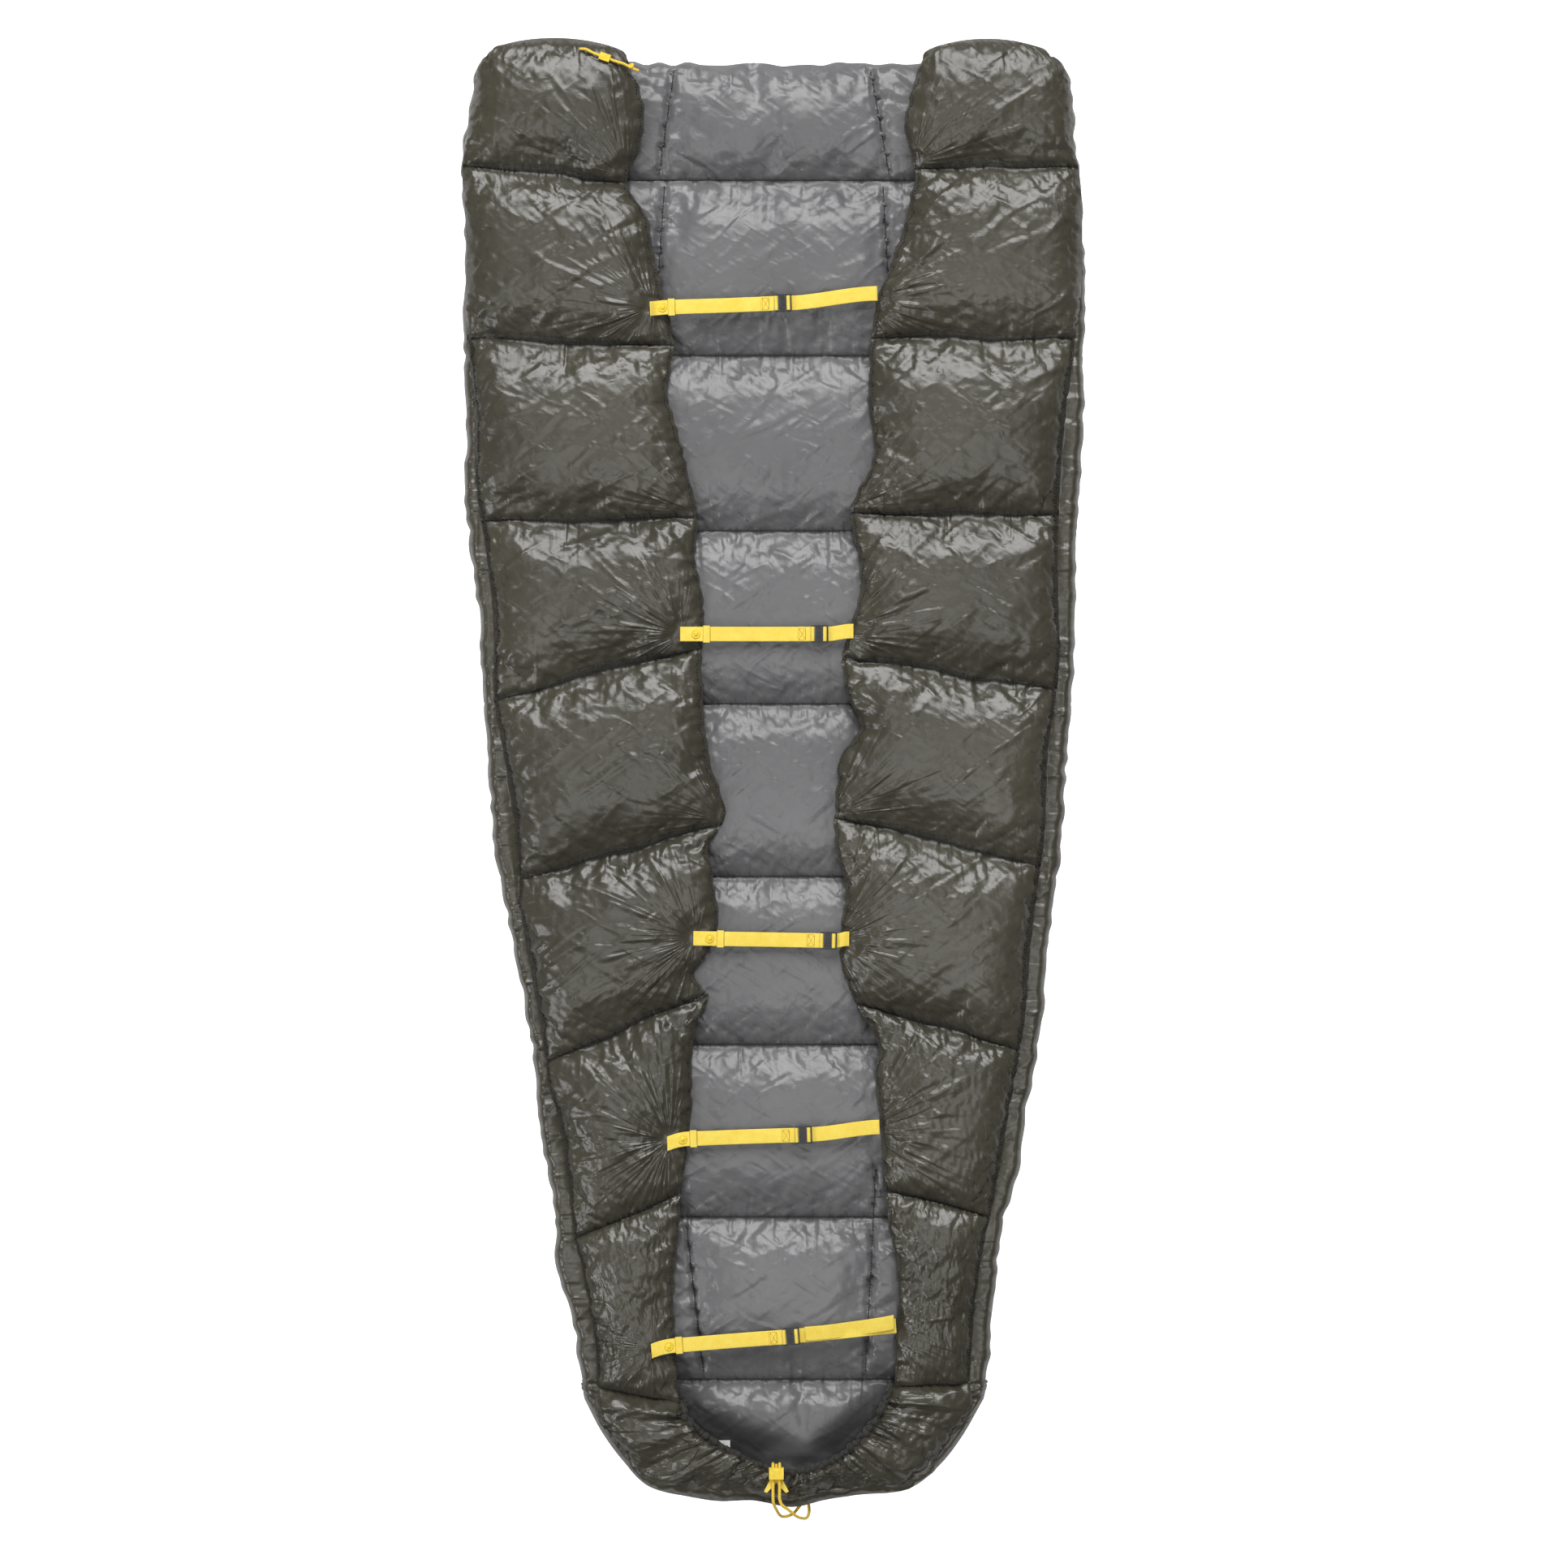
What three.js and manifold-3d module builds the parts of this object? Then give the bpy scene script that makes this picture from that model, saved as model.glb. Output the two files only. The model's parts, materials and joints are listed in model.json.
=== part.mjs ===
// A camp quilt laid flat, with both long sides folded over its middle and held by five webbing straps.
// Millimetres. The origin is the middle of the underside, +Y points to the head end and +Z up.
// Each quilted layer is a shell, its insulation and a liner. The body lies on the ground, wraps round both
// side edges and the foot, and ends at two creases. Inboard of each crease a flap can be folded back.
import * as THREE from "three";
import { mergeVertices } from "three/addons/utils/BufferGeometryUtils.js";
import Module from "manifold-3d";

const wasm = await Module();
wasm.setup();

// Quilt: heights of the layers and the lines that shape it.
const FABRIC = 1;
const LOFT = 24; // one quilted layer, shell to liner
const SLEEPING_GAP = 8; // between the two liners at rest
const CLEARANCE = 0.3;
const TOP = 2 * LOFT + SLEEPING_GAP;
const HEAD_OPENING_Y = 955; // beyond this the two layers aren't joined at the sides
const BEYOND = 1100; // outside the quilt in any direction

// Half of the outline, foot centre to head centre, [half width, Y].
const OUTLINE = [
  [0, -1007], [105, -998], [185, -975], [242, -922], [276, -850], [309, -600], [355, -300], [394, 0],
  [417, 300], [426, 600], [419, 850], [396, 972], [330, 1003], [250, 1003], [205, 986], [150, 972],
  [0, 970],
];
// Half of the opening between the flaps, foot hem to head, [half width, Y].
const OPENING = [
  [0, -955], [90, -932], [138, -880], [152, -780], [140, -560], [115, -340], [86, -100], [98, 200],
  [134, 590], [180, 760], [186, 860], [195, 990],
];
// The straight crease each flap folds back along.
const CREASE = { footX: 100, footY: -853, headX: 415, headY: 1000, gap: 1 };

// Straps, head to foot. X of the free end, snap, keeper loop, clip and sewn anchor, and the angle to +X.
const STRAPS = [
  { y: 642, turn: 2, end: -171, snap: -154, keeper: -142, clip: 0, anchor: 137 },
  { y: 190, turn: 0, end: -130, snap: -108, keeper: -94, clip: 50, anchor: 104 },
  { y: -228, turn: -1, end: -112, snap: -90, keeper: -75, clip: 62, anchor: 98 },
  { y: -496, turn: 2, end: -148, snap: -126, keeper: -112, clip: 28, anchor: 140 },
  { y: -772, turn: 4.5, end: -170, snap: -146, keeper: -132, clip: 11, anchor: 163 },
];
const WEBBING = { width: 20, thick: 1.2, low: TOP + 1.1 };
const KEEPER = { length: 9, thick: 1.2 };
const SNAP = { capRadius: 5.5, studRadius: 4.5 };
const BUCKLE = {
  width: 24,
  low: TOP + 2.7,
  high: TOP + 6.7,
  bar: 2.6,
  endBar: 1.5,
  slot: 3,
  clipLength: 13,
  adjusterLength: 9,
};
const TONGUE = { start: 7.4, head: 1.8, headWidth: 13.2, stemWidth: 7.2, play: 0.4 };

const CORD_RADIUS = 1.5;
const HEM_RADIUS = 4;
const HEM_END_Y = -840;
const LOCK = { x: 1.5, y: -957, length: 16, width: 20, height: 10, low: TOP + 1, strandGap: 9 };
const BUTTON = { radius: 1.6, travel: 3, proud: 5, depth: 4 };
const HEAD_CORD_Z = TOP + 6;
const HEAD_CORD = [[-268, 990], [-252, 985], [-214, 971.5], [-198, 966], [-186, 960]];
const TOGGLE = { length: 15, width: 10, height: 9 };

const SHELL = { color: 0x6f6a5c, roughness: 0.42, metalness: 0 };
const LINER = { color: 0x7f7d7d, roughness: 0.5, metalness: 0 };
const FILL = { color: 0xe6e3da, roughness: 0.95, metalness: 0 };
const HEM = { color: 0x2e2b26, roughness: 0.6, metalness: 0 };
const YELLOW = { color: 0xf2cf3a, roughness: 0.8, metalness: 0 };
const BLACK = { color: 0x18191b, roughness: 0.35, metalness: 0 };
const LABEL = { color: 0xe9e9e6, roughness: 0.7, metalness: 0 };

// ---- solids ----

function toSolid(geometry) {
  const bare = geometry.clone();
  bare.deleteAttribute("normal");
  bare.deleteAttribute("uv");
  const merged = mergeVertices(bare, 1e-3);
  const vertProperties = new Float32Array(merged.attributes.position.array);
  const triVerts = new Uint32Array(merged.index.array);
  return new wasm.Manifold(new wasm.Mesh({ numProp: 3, vertProperties, triVerts }));
}

function toGeometry(solid) {
  const mesh = solid.getMesh();
  const geometry = new THREE.BufferGeometry();
  geometry.setAttribute("position", new THREE.BufferAttribute(mesh.vertProperties, 3));
  geometry.setIndex(new THREE.BufferAttribute(mesh.triVerts, 1));
  return geometry;
}

// An upright slab over a planform, between two heights.
function slab(points, low, high) {
  const shape = new THREE.Shape(points);
  const geometry = new THREE.ExtrudeGeometry(shape, { depth: high - low, bevelEnabled: false });
  return geometry.translate(0, 0, low);
}

function slabSolid(points, low, high) {
  return toSolid(slab(points, low, high));
}

function rectangle(x0, x1, y0, y1) {
  return [[x0, y0], [x1, y0], [x1, y1], [x0, y1]].map(([x, y]) => new THREE.Vector2(x, y));
}

function block(x0, x1, y0, y1, low, high) {
  return slab(rectangle(x0, x1, y0, y1), low, high);
}

// A profile of [X, Z] points, drawn across the strap's width.
function acrossY(profile, width) {
  const shape = new THREE.Shape(profile.map(([x, z]) => new THREE.Vector2(x, z)));
  const geometry = new THREE.ExtrudeGeometry(shape, { depth: width, bevelEnabled: false });
  return geometry.rotateX(Math.PI / 2).translate(0, width / 2, 0);
}

// A round cord along a smooth path.
function cord(points, radius, steps) {
  const path = new THREE.CatmullRomCurve3(points);
  const section = new THREE.Shape().absarc(0, 0, radius, 0, 2 * Math.PI, false);
  return new THREE.ExtrudeGeometry(section, {
    steps, curveSegments: 8, bevelEnabled: false, extrudePath: path,
  });
}

function mesh(name, geometry, look, parent) {
  const made = new THREE.Mesh(geometry, new THREE.MeshStandardMaterial(look));
  made.name = name;
  parent.add(made);
  return made;
}

// ---- planforms ----

// A smooth half curve and its mirror image, as one closed loop, counter-clockwise.
function mirrored(half, steps) {
  const curve = new THREE.SplineCurve(half.map(([x, y]) => new THREE.Vector2(x, y)));
  const right = curve.getSpacedPoints(steps);
  const onAxis = (p) => Math.abs(p.x) < 1e-6;
  const left = right.filter((p) => !onAxis(p)).reverse();
  return [...right, ...left.map((p) => new THREE.Vector2(-p.x, p.y))];
}

// The loop moved inwards by a distance, along the bisector at each corner.
function inset(loop, distance) {
  return loop.map((p, i) => {
    const before = loop[(i + loop.length - 1) % loop.length];
    const after = loop[(i + 1) % loop.length];
    const along = new THREE.Vector2().subVectors(after, before).normalize();
    return new THREE.Vector2(p.x - along.y * distance, p.y + along.x * distance);
  });
}

function creaseX(y) {
  const share = (y - CREASE.footY) / (CREASE.headY - CREASE.footY);
  return CREASE.footX + share * (CREASE.headX - CREASE.footX);
}

// Everything inboard of a crease on one side: side is -1 for left and 1 for right.
function inboard(side, gap) {
  const loop = [
    new THREE.Vector2(0, CREASE.footY),
    new THREE.Vector2(side * (creaseX(CREASE.footY) - gap), CREASE.footY),
    new THREE.Vector2(side * (creaseX(BEYOND) - gap), BEYOND),
    new THREE.Vector2(0, BEYOND),
  ];
  return side < 0 ? loop.reverse() : loop;
}

const outline = mirrored(OUTLINE, 30);
const opening = mirrored([...OPENING, [195, BEYOND]], 36);

// One sheet of the body: a floor, a wall round the sides and foot, and a lip above, open at the head
// and cut back to the creases. low and high are the sheet's heights in the floor.
function bodySheet(low, high) {
  const lipLow = TOP - high;
  const lipHigh = TOP - low;
  const outer = inset(outline, low);
  const inner = inset(outline, high);
  const floor = slabSolid(outer, low, high);
  const wall = slabSolid(outer, low, lipHigh).subtract(slabSolid(inner, low - 1, lipHigh + 1));
  const lip = slabSolid(outer, lipLow, lipHigh);
  const head = slabSolid(rectangle(-BEYOND, BEYOND, HEAD_OPENING_Y, BEYOND), high, lipLow);
  let upper = wall.add(lip).subtract(head).subtract(slabSolid(opening, high, BEYOND));
  for (const side of [-1, 1]) {
    upper = upper.subtract(slabSolid(inboard(side, -CREASE.gap), LOFT + CLEARANCE, BEYOND));
  }
  return toGeometry(floor.add(upper));
}

// One sheet of a flap, inboard of its crease and outside the opening.
function flapSheet(side, low, high) {
  const region = slabSolid(inboard(side, CREASE.gap), low, high);
  const within = slabSolid(outline, low - 1, high + 1).intersect(region);
  return toGeometry(within.subtract(slabSolid(opening, low - 1, high + 1)));
}

function addQuilt(parent) {
  const fillLow = FABRIC + CLEARANCE;
  const fillHigh = LOFT - FABRIC - CLEARANCE;
  mesh("shell_body", bodySheet(0, FABRIC), SHELL, parent);
  mesh("insulation_body", bodySheet(fillLow, fillHigh), FILL, parent);
  mesh("liner_body", bodySheet(LOFT - FABRIC, LOFT), LINER, parent);
  for (const [name, side] of [["left", -1], ["right", 1]]) {
    mesh(`shell_${name}_flap`, flapSheet(side, TOP - FABRIC, TOP), SHELL, parent);
    mesh(`insulation_${name}_flap`, flapSheet(side, TOP - fillHigh, TOP - fillLow), FILL, parent);
    mesh(`liner_${name}_flap`, flapSheet(side, TOP - LOFT, TOP - LOFT + FABRIC), LINER, parent);
  }
}

// ---- straps, in a frame of their own: X along the strap, Y across it, Z as the quilt ----

function keeperLoop() {
  const half = WEBBING.width / 2 + CLEARANCE;
  const outer = half + KEEPER.thick;
  const low = TOP + CLEARANCE;
  const roof = WEBBING.low + WEBBING.thick + CLEARANCE;
  const shape = new THREE.Shape([
    new THREE.Vector2(-outer, low), new THREE.Vector2(-half, low), new THREE.Vector2(-half, roof),
    new THREE.Vector2(half, roof), new THREE.Vector2(half, low), new THREE.Vector2(outer, low),
    new THREE.Vector2(outer, roof + KEEPER.thick), new THREE.Vector2(-outer, roof + KEEPER.thick),
  ]);
  const geometry = new THREE.ExtrudeGeometry(shape, { depth: KEEPER.length, bevelEnabled: false });
  return geometry.rotateX(Math.PI / 2).rotateZ(Math.PI / 2).translate(-KEEPER.length / 2, 0, 0);
}

// The strap's free end, with clipped corners, that snaps down on the flap.
function snapTab(strap) {
  const half = WEBBING.width / 2;
  const cut = 3;
  const x1 = strap.keeper - KEEPER.length / 2 - CLEARANCE;
  const loop = [[strap.end + cut, -half], [x1, -half], [x1, half], [strap.end + cut, half],
    [strap.end, half - cut], [strap.end, cut - half]].map(([x, y]) => new THREE.Vector2(x, y));
  return slab(loop, WEBBING.low, WEBBING.low + WEBBING.thick);
}

function disc(radius, low, high, domed) {
  const edge = domed ? (high - low) / 2 : high - low;
  const crown = domed ? radius * 0.6 : radius;
  const profile = [[0, low], [radius, low], [radius, low + edge], [crown, high], [0, high]];
  const points = profile.map(([x, y]) => new THREE.Vector2(x, y));
  const kept = points.filter((p, i) => i === 0 || p.distanceTo(points[i - 1]) > 1e-6);
  return new THREE.LatheGeometry(kept, 20).rotateX(Math.PI / 2);
}

// A band from x0 that turns round the clip's bar and is sewn back on itself.
function loopedBand(x0, barX) {
  const low = WEBBING.low;
  const thick = WEBBING.thick;
  const lift = BUCKLE.high + CLEARANCE;
  const near = barX - BUCKLE.bar / 2 - CLEARANCE;
  const far = barX + BUCKLE.bar / 2 + CLEARANCE;
  const fold = { length: 22, ramp: 4, top: low + 2 * thick + 0.1 };
  const profile = [
    [x0, low], [far + thick, low], [far + thick, lift + thick], [near - thick, lift + thick],
    [near - fold.ramp, fold.top], [barX - fold.length, fold.top], [barX - fold.length, low + thick],
    [x0, low + thick],
  ];
  const eye = block(near, far, -WEBBING.width, WEBBING.width, low + thick, lift);
  return toGeometry(toSolid(acrossY(profile, WEBBING.width)).subtract(toSolid(eye)));
}

// A band from x0 that comes up on one side of the adjuster's middle bar, over it, and down the other.
function threadedBand(x0, barX) {
  const low = WEBBING.low;
  const thick = WEBBING.thick;
  const lift = BUCKLE.high + CLEARANCE;
  const near = barX + BUCKLE.bar / 2 + CLEARANCE;
  const far = barX - BUCKLE.bar / 2 - CLEARANCE;
  const profile = [
    [x0, low], [x0, low + thick], [near + thick, low + thick], [near + thick, lift + thick],
    [far - thick, lift + thick], [far - thick, low], [far, low], [far, lift], [near, lift], [near, low],
  ];
  return acrossY(profile, WEBBING.width);
}

// Left half of the buckle: a bar for the webbing and an open T slot for the tongue.
function clip(x) {
  const half = BUCKLE.width / 2;
  const eyeHalf = WEBBING.width / 2 + CLEARANCE;
  const frame = slabSolid(rectangle(x, x + BUCKLE.clipLength, -half, half), BUCKLE.low, BUCKLE.high);
  const cuts = [
    rectangle(x + BUCKLE.bar, x + BUCKLE.bar + BUCKLE.slot, -eyeHalf, eyeHalf),
    rectangle(...tongueHead(x, TONGUE.play)),
    rectangle(...tongueStem(x, TONGUE.play, x + BUCKLE.clipLength + 1)),
  ];
  return toGeometry(cuts.reduce((solid, cut) => solid.subtract(slabSolid(cut, 0, BEYOND)), frame));
}

function tongueHead(x, play) {
  const start = x + TONGUE.start;
  const half = TONGUE.headWidth / 2 + play;
  return [start - play, start + TONGUE.head + play, -half, half];
}

function tongueStem(x, play, end) {
  const start = x + TONGUE.start + TONGUE.head;
  const half = TONGUE.stemWidth / 2 + play;
  return [start - play, end, -half, half];
}

// Right half of the buckle: the T tongue and a three-bar frame the webbing is threaded through.
function adjuster(x) {
  const half = BUCKLE.width / 2;
  const eyeHalf = WEBBING.width / 2 + CLEARANCE;
  const start = x + BUCKLE.clipLength + TONGUE.play;
  const end = start + BUCKLE.adjusterLength;
  const middle = (start + end) / 2;
  let solid = slabSolid(rectangle(start, end, -half, half), BUCKLE.low, BUCKLE.high);
  const slots = [
    [start + BUCKLE.endBar, middle - BUCKLE.bar / 2],
    [middle + BUCKLE.bar / 2, end - BUCKLE.endBar],
  ];
  for (const [x0, x1] of slots) {
    solid = solid.subtract(slabSolid(rectangle(x0, x1, -eyeHalf, eyeHalf), 0, BEYOND));
  }
  for (const outline of [tongueHead(x, 0), tongueStem(x, 0, start + BUCKLE.endBar)]) {
    solid = solid.add(slabSolid(rectangle(...outline), BUCKLE.low, BUCKLE.high));
  }
  return toGeometry(solid);
}

function addStrap(strap, number, parent) {
  const group = new THREE.Group();
  group.position.set(0, strap.y, 0);
  group.rotation.z = THREE.MathUtils.degToRad(strap.turn);
  parent.add(group);
  const name = (part) => `strap_${number}_${part}`;
  const tabTop = WEBBING.low + WEBBING.thick;
  const adjusterMiddle = strap.clip + BUCKLE.clipLength + TONGUE.play + BUCKLE.adjusterLength / 2;
  mesh(name("snap_tab"), snapTab(strap), YELLOW, group);
  const cap = disc(SNAP.capRadius, tabTop + CLEARANCE, tabTop + CLEARANCE + 2.4, true);
  mesh(name("snap_cap"), cap, YELLOW, group).position.x = strap.snap;
  const stud = disc(SNAP.studRadius, TOP + CLEARANCE, WEBBING.low - CLEARANCE, false);
  mesh(name("snap_stud"), stud, YELLOW, group).position.x = strap.snap;
  mesh(name("keeper"), keeperLoop(), YELLOW, group).position.x = strap.keeper;
  const webbingStart = strap.keeper + KEEPER.length / 2 + CLEARANCE;
  mesh(name("webbing"), loopedBand(webbingStart, strap.clip + BUCKLE.bar / 2), YELLOW, group);
  mesh(name("clip"), clip(strap.clip), BLACK, group);
  mesh(name("adjuster"), adjuster(strap.clip), BLACK, group);
  mesh(name("tail"), threadedBand(strap.anchor, adjusterMiddle), YELLOW, group);
}

// ---- cords ----

// The gathered foot hem, a soft roll just inside the foot end of the opening.
function footHem() {
  const within = inset(opening, HEM_RADIUS + 3);
  const left = within.filter((p) => p.y < HEM_END_Y && p.x < -1);
  const right = within.filter((p) => p.y < HEM_END_Y && p.x >= -1);
  const path = [...left, ...right].map((p) => new THREE.Vector3(p.x, p.y, TOP - LOFT / 2));
  return cord(path, HEM_RADIUS, 28);
}

// Both strands run out through the cord lock and meet in a loop past the foot.
function footCord() {
  const z = LOCK.low + LOCK.height / 2;
  const s = LOCK.strandGap / 2;
  const at = (x, y, rise = 0) => new THREE.Vector3(LOCK.x + x, y, z + rise);
  return cord([
    at(-s, -938), at(-s, -965), at(-s, -990), at(-s, -1003), at(6, -1015, 3), at(28, -1019, 3),
    at(40, -1008, 1.5), at(30, -1001), at(14, -1009), at(s, -1003), at(s, -990), at(s, -965), at(s, -938),
  ], CORD_RADIUS, 60);
}

function lockBody() {
  const half = LOCK.length / 2;
  const high = LOCK.low + LOCK.height;
  const middle = LOCK.low + LOCK.height / 2;
  const side0 = LOCK.x - LOCK.width / 2;
  let solid = toSolid(block(side0, side0 + LOCK.width, LOCK.y - half, LOCK.y + half, LOCK.low, high));
  for (const side of [-1, 1]) {
    const bore = new THREE.CylinderGeometry(CORD_RADIUS + 0.7, CORD_RADIUS + 0.7, 2 * LOCK.length, 16);
    solid = solid.subtract(toSolid(bore.translate(LOCK.x + side * LOCK.strandGap / 2, LOCK.y, middle)));
  }
  const depth = BUTTON.depth + BUTTON.travel + CLEARANCE;
  const wellRadius = BUTTON.radius + CLEARANCE;
  const well = new THREE.CylinderGeometry(wellRadius, wellRadius, 2 * depth, 16);
  return toGeometry(solid.subtract(toSolid(well.translate(LOCK.x, LOCK.y + half, middle))));
}

// The spring-loaded plunger between the two strands, pressed from the head side.
function lockButton() {
  const length = BUTTON.depth + BUTTON.proud;
  const geometry = new THREE.CylinderGeometry(BUTTON.radius, BUTTON.radius, length, 16);
  const y = LOCK.y + LOCK.length / 2 - BUTTON.depth + length / 2;
  return geometry.translate(LOCK.x, y, LOCK.low + LOCK.height / 2);
}

// A folded V of tape on the foot side of the lock.
function lockPull() {
  const top = LOCK.y - LOCK.length / 2 - CLEARANCE;
  const right = [[8, top], [17, top - 17], [13, top - 19], [0, top - 5]];
  const left = right.slice(0, 3).reverse().map(([x, y]) => [-x, y]);
  const loop = [...right, ...left].map(([x, y]) => new THREE.Vector2(LOCK.x + x, y));
  return slab(loop, LOCK.low, LOCK.low + WEBBING.thick);
}

function headCord() {
  return cord(HEAD_CORD.map(([x, y]) => new THREE.Vector3(x, y, HEAD_CORD_Z)), CORD_RADIUS, 16);
}

function headToggle() {
  const body = new THREE.BoxGeometry(TOGGLE.length, TOGGLE.width, TOGGLE.height);
  const bore = new THREE.CylinderGeometry(CORD_RADIUS + 1, CORD_RADIUS + 1, 2 * TOGGLE.length, 16);
  return toGeometry(toSolid(body).subtract(toSolid(bore.rotateZ(Math.PI / 2))));
}

function addCords(parent) {
  mesh("foot_hem", footHem(), HEM, parent);
  mesh("foot_drawcord", footCord(), YELLOW, parent);
  mesh("foot_cord_lock", lockBody(), YELLOW, parent);
  mesh("foot_cord_lock_button", lockButton(), YELLOW, parent);
  mesh("foot_cord_pull", lockPull(), YELLOW, parent);
  mesh("head_drawcord", headCord(), YELLOW, parent);
  const toggle = mesh("head_cord_toggle", headToggle(), YELLOW, parent);
  const [from, to] = HEAD_CORD.slice(1, 3);
  toggle.position.set((from[0] + to[0]) / 2, (from[1] + to[1]) / 2, HEAD_CORD_Z);
  toggle.rotation.z = Math.atan2(to[1] - from[1], to[0] - from[0]);
}

// A blank care label lying on the liner by the foot hem.
function careLabel() {
  const [x, y, side, thick] = [-80, -934, 18, 0.6];
  return block(x, x + side, y, y + side, LOFT + 1, LOFT + 1 + thick);
}

const quilt = new THREE.Group();
addQuilt(quilt);
STRAPS.forEach((strap, i) => addStrap(strap, i + 1, quilt));
addCords(quilt);
mesh("label", careLabel(), LABEL, quilt);
export default quilt;
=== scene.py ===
"""A camp quilt laid flat: two puffy flaps folded over a quilted liner, five webbing straps, a cinched foot.

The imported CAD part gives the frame, the bodies and the joints. The cushions are sewn sheets blown up with
cloth simulation between their pinned seams. Design lines are in millimetres, meshes are in metres.
+X points to the right side of the quilt, +Y to the head end and +Z up.
"""

import json
import math
from types import SimpleNamespace

import bpy
import numpy as np
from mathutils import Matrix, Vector


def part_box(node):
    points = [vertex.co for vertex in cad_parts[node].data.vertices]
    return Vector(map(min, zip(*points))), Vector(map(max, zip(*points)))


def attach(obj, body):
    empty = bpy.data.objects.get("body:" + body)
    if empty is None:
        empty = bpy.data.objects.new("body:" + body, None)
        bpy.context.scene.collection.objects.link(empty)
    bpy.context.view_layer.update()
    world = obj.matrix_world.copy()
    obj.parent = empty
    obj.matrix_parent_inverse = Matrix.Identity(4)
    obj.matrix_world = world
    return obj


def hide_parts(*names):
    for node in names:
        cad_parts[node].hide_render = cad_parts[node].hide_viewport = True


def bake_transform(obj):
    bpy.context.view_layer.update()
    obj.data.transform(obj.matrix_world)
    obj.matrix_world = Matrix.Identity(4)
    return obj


MM = 0.001
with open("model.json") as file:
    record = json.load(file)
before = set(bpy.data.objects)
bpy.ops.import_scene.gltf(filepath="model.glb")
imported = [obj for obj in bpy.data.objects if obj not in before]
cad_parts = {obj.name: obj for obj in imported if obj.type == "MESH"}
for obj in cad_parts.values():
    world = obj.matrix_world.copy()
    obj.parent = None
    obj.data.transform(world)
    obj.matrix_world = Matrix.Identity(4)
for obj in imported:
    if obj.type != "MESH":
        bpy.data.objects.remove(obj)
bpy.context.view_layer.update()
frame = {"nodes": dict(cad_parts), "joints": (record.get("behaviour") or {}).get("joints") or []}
JOINTS = {joint["name"]: joint for joint in frame["joints"]}
SCENE = bpy.context.scene

# ---- design lines of the quilt, head to foot, [X, Y] ----

OUTLINE = {
    "left": [
        (-391, 992), (-405, 975), (-416, 920), (-429, 847), (-424, 725), (-428, 592), (-423, 469),
        (-424, 347), (-414, 280), (-405, 214), (-402, 114), (-397, 58), (-391, -8), (-383, -119),
        (-372, -170), (-350, -275), (-333, -386), (-320, -497), (-302, -608), (-297, -686), (-278, -742),
        (-267, -830), (-262, -860),
    ],
    "right": [
        (371, 990), (389, 980), (403, 954), (408, 915), (411, 855), (417, 833), (422, 725), (424, 592),
        (422, 503), (415, 358), (413, 300), (409, 169), (407, 110), (398, 10), (389, -134), (372, -245),
        (364, -352), (355, -407), (343, -460), (332, -552), (314, -615), (307, -650), (297, -732),
        (291, -830), (286, -860),
    ],
}
FOOT_OUTLINE = [
    (-262, -860), (-239, -904), (-210, -944), (-177, -977), (-118, -993), (-78, -999), (-33, -998),
    (26, -1007), (70, -997), (110, -991), (188, -980), (232, -944), (254, -915), (286, -860),
]
# The line each flap is sewn to at the side: the outline itself near the head, then a stitch line inside it.
FLAP_OUTER = {
    "left": [
        (-389, 990), (-403, 972), (-414, 920), (-428, 847), (-423, 725), (-424, 610), (-417, 543),
        (-408, 373), (-397, 302), (-390, 245), (-386, 173), (-386, 98), (-377, 50), (-369, 0),
        (-358, -70), (-349, -190), (-340, -250), (-325, -330), (-310, -430), (-296, -485), (-284, -580),
        (-275, -640), (-264, -690), (-253, -750), (-243, -845),
    ],
    "right": [
        (369, 988), (387, 976), (402, 950), (407, 915), (410, 855), (415, 833), (421, 725), (418, 640),
        (405, 540), (394, 444), (389, 355), (388, 288), (388, 124), (376, 44), (369, -92), (356, -190),
        (341, -350), (322, -460), (302, -576), (284, -660), (272, -760), (267, -845),
    ],
}
FLAP_INNER = {
    "left": [
        (-206, 990), (-196, 960), (-184, 932), (-180, 900), (-186, 855), (-204, 809), (-178, 765),
        (-164, 700), (-152, 650), (-139, 586), (-147, 523), (-131, 460), (-113, 385), (-107, 347),
        (-109, 300), (-97, 217), (-101, 160), (-98, 90), (-90, 20), (-72, -68), (-91, -100), (-86, -140),
        (-79, -210), (-92, -245), (-112, -277), (-92, -304), (-108, -345), (-115, -460), (-127, -560),
        (-130, -600), (-139, -710), (-137, -786), (-132, -865),
    ],
    "right": [
        (204, 990), (196, 960), (184, 925), (178, 885), (184, 855), (191, 827), (184, 785), (178, 755),
        (164, 714), (152, 680), (141, 655), (132, 596), (127, 515), (131, 420), (112, 385), (104, 356),
        (107, 330), (116, 285), (116, 245), (105, 212), (92, 155), (102, 101), (116, 60), (94, 30),
        (84, -20), (81, -61), (84, -106), (97, -159), (90, -210), (91, -262), (112, -318), (142, -374),
        (138, -412), (147, -510), (150, -574), (157, -622), (168, -690), (165, -764), (163, -845),
    ],
}
# Y of each flap seam at its outer and inner ends.
FLAP_SEAMS = {
    "left": [
        (988, 984), (833, 809), (597, 586), (346, 350), (99, 172), (-146, -70), (-397, -304), (-638, -575),
        (-842, -864),
    ],
    "right": [
        (986, 984), (831, 829), (596, 596), (355, 356), (115, 157), (-128, -61), (-380, -316), (-609, -572),
        (-836, -842),
    ],
}
LINER_HEAD_Y = 980
LINER_SEAMS = [815, 574, 333, 95, -142, -373, -610, -833]
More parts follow.
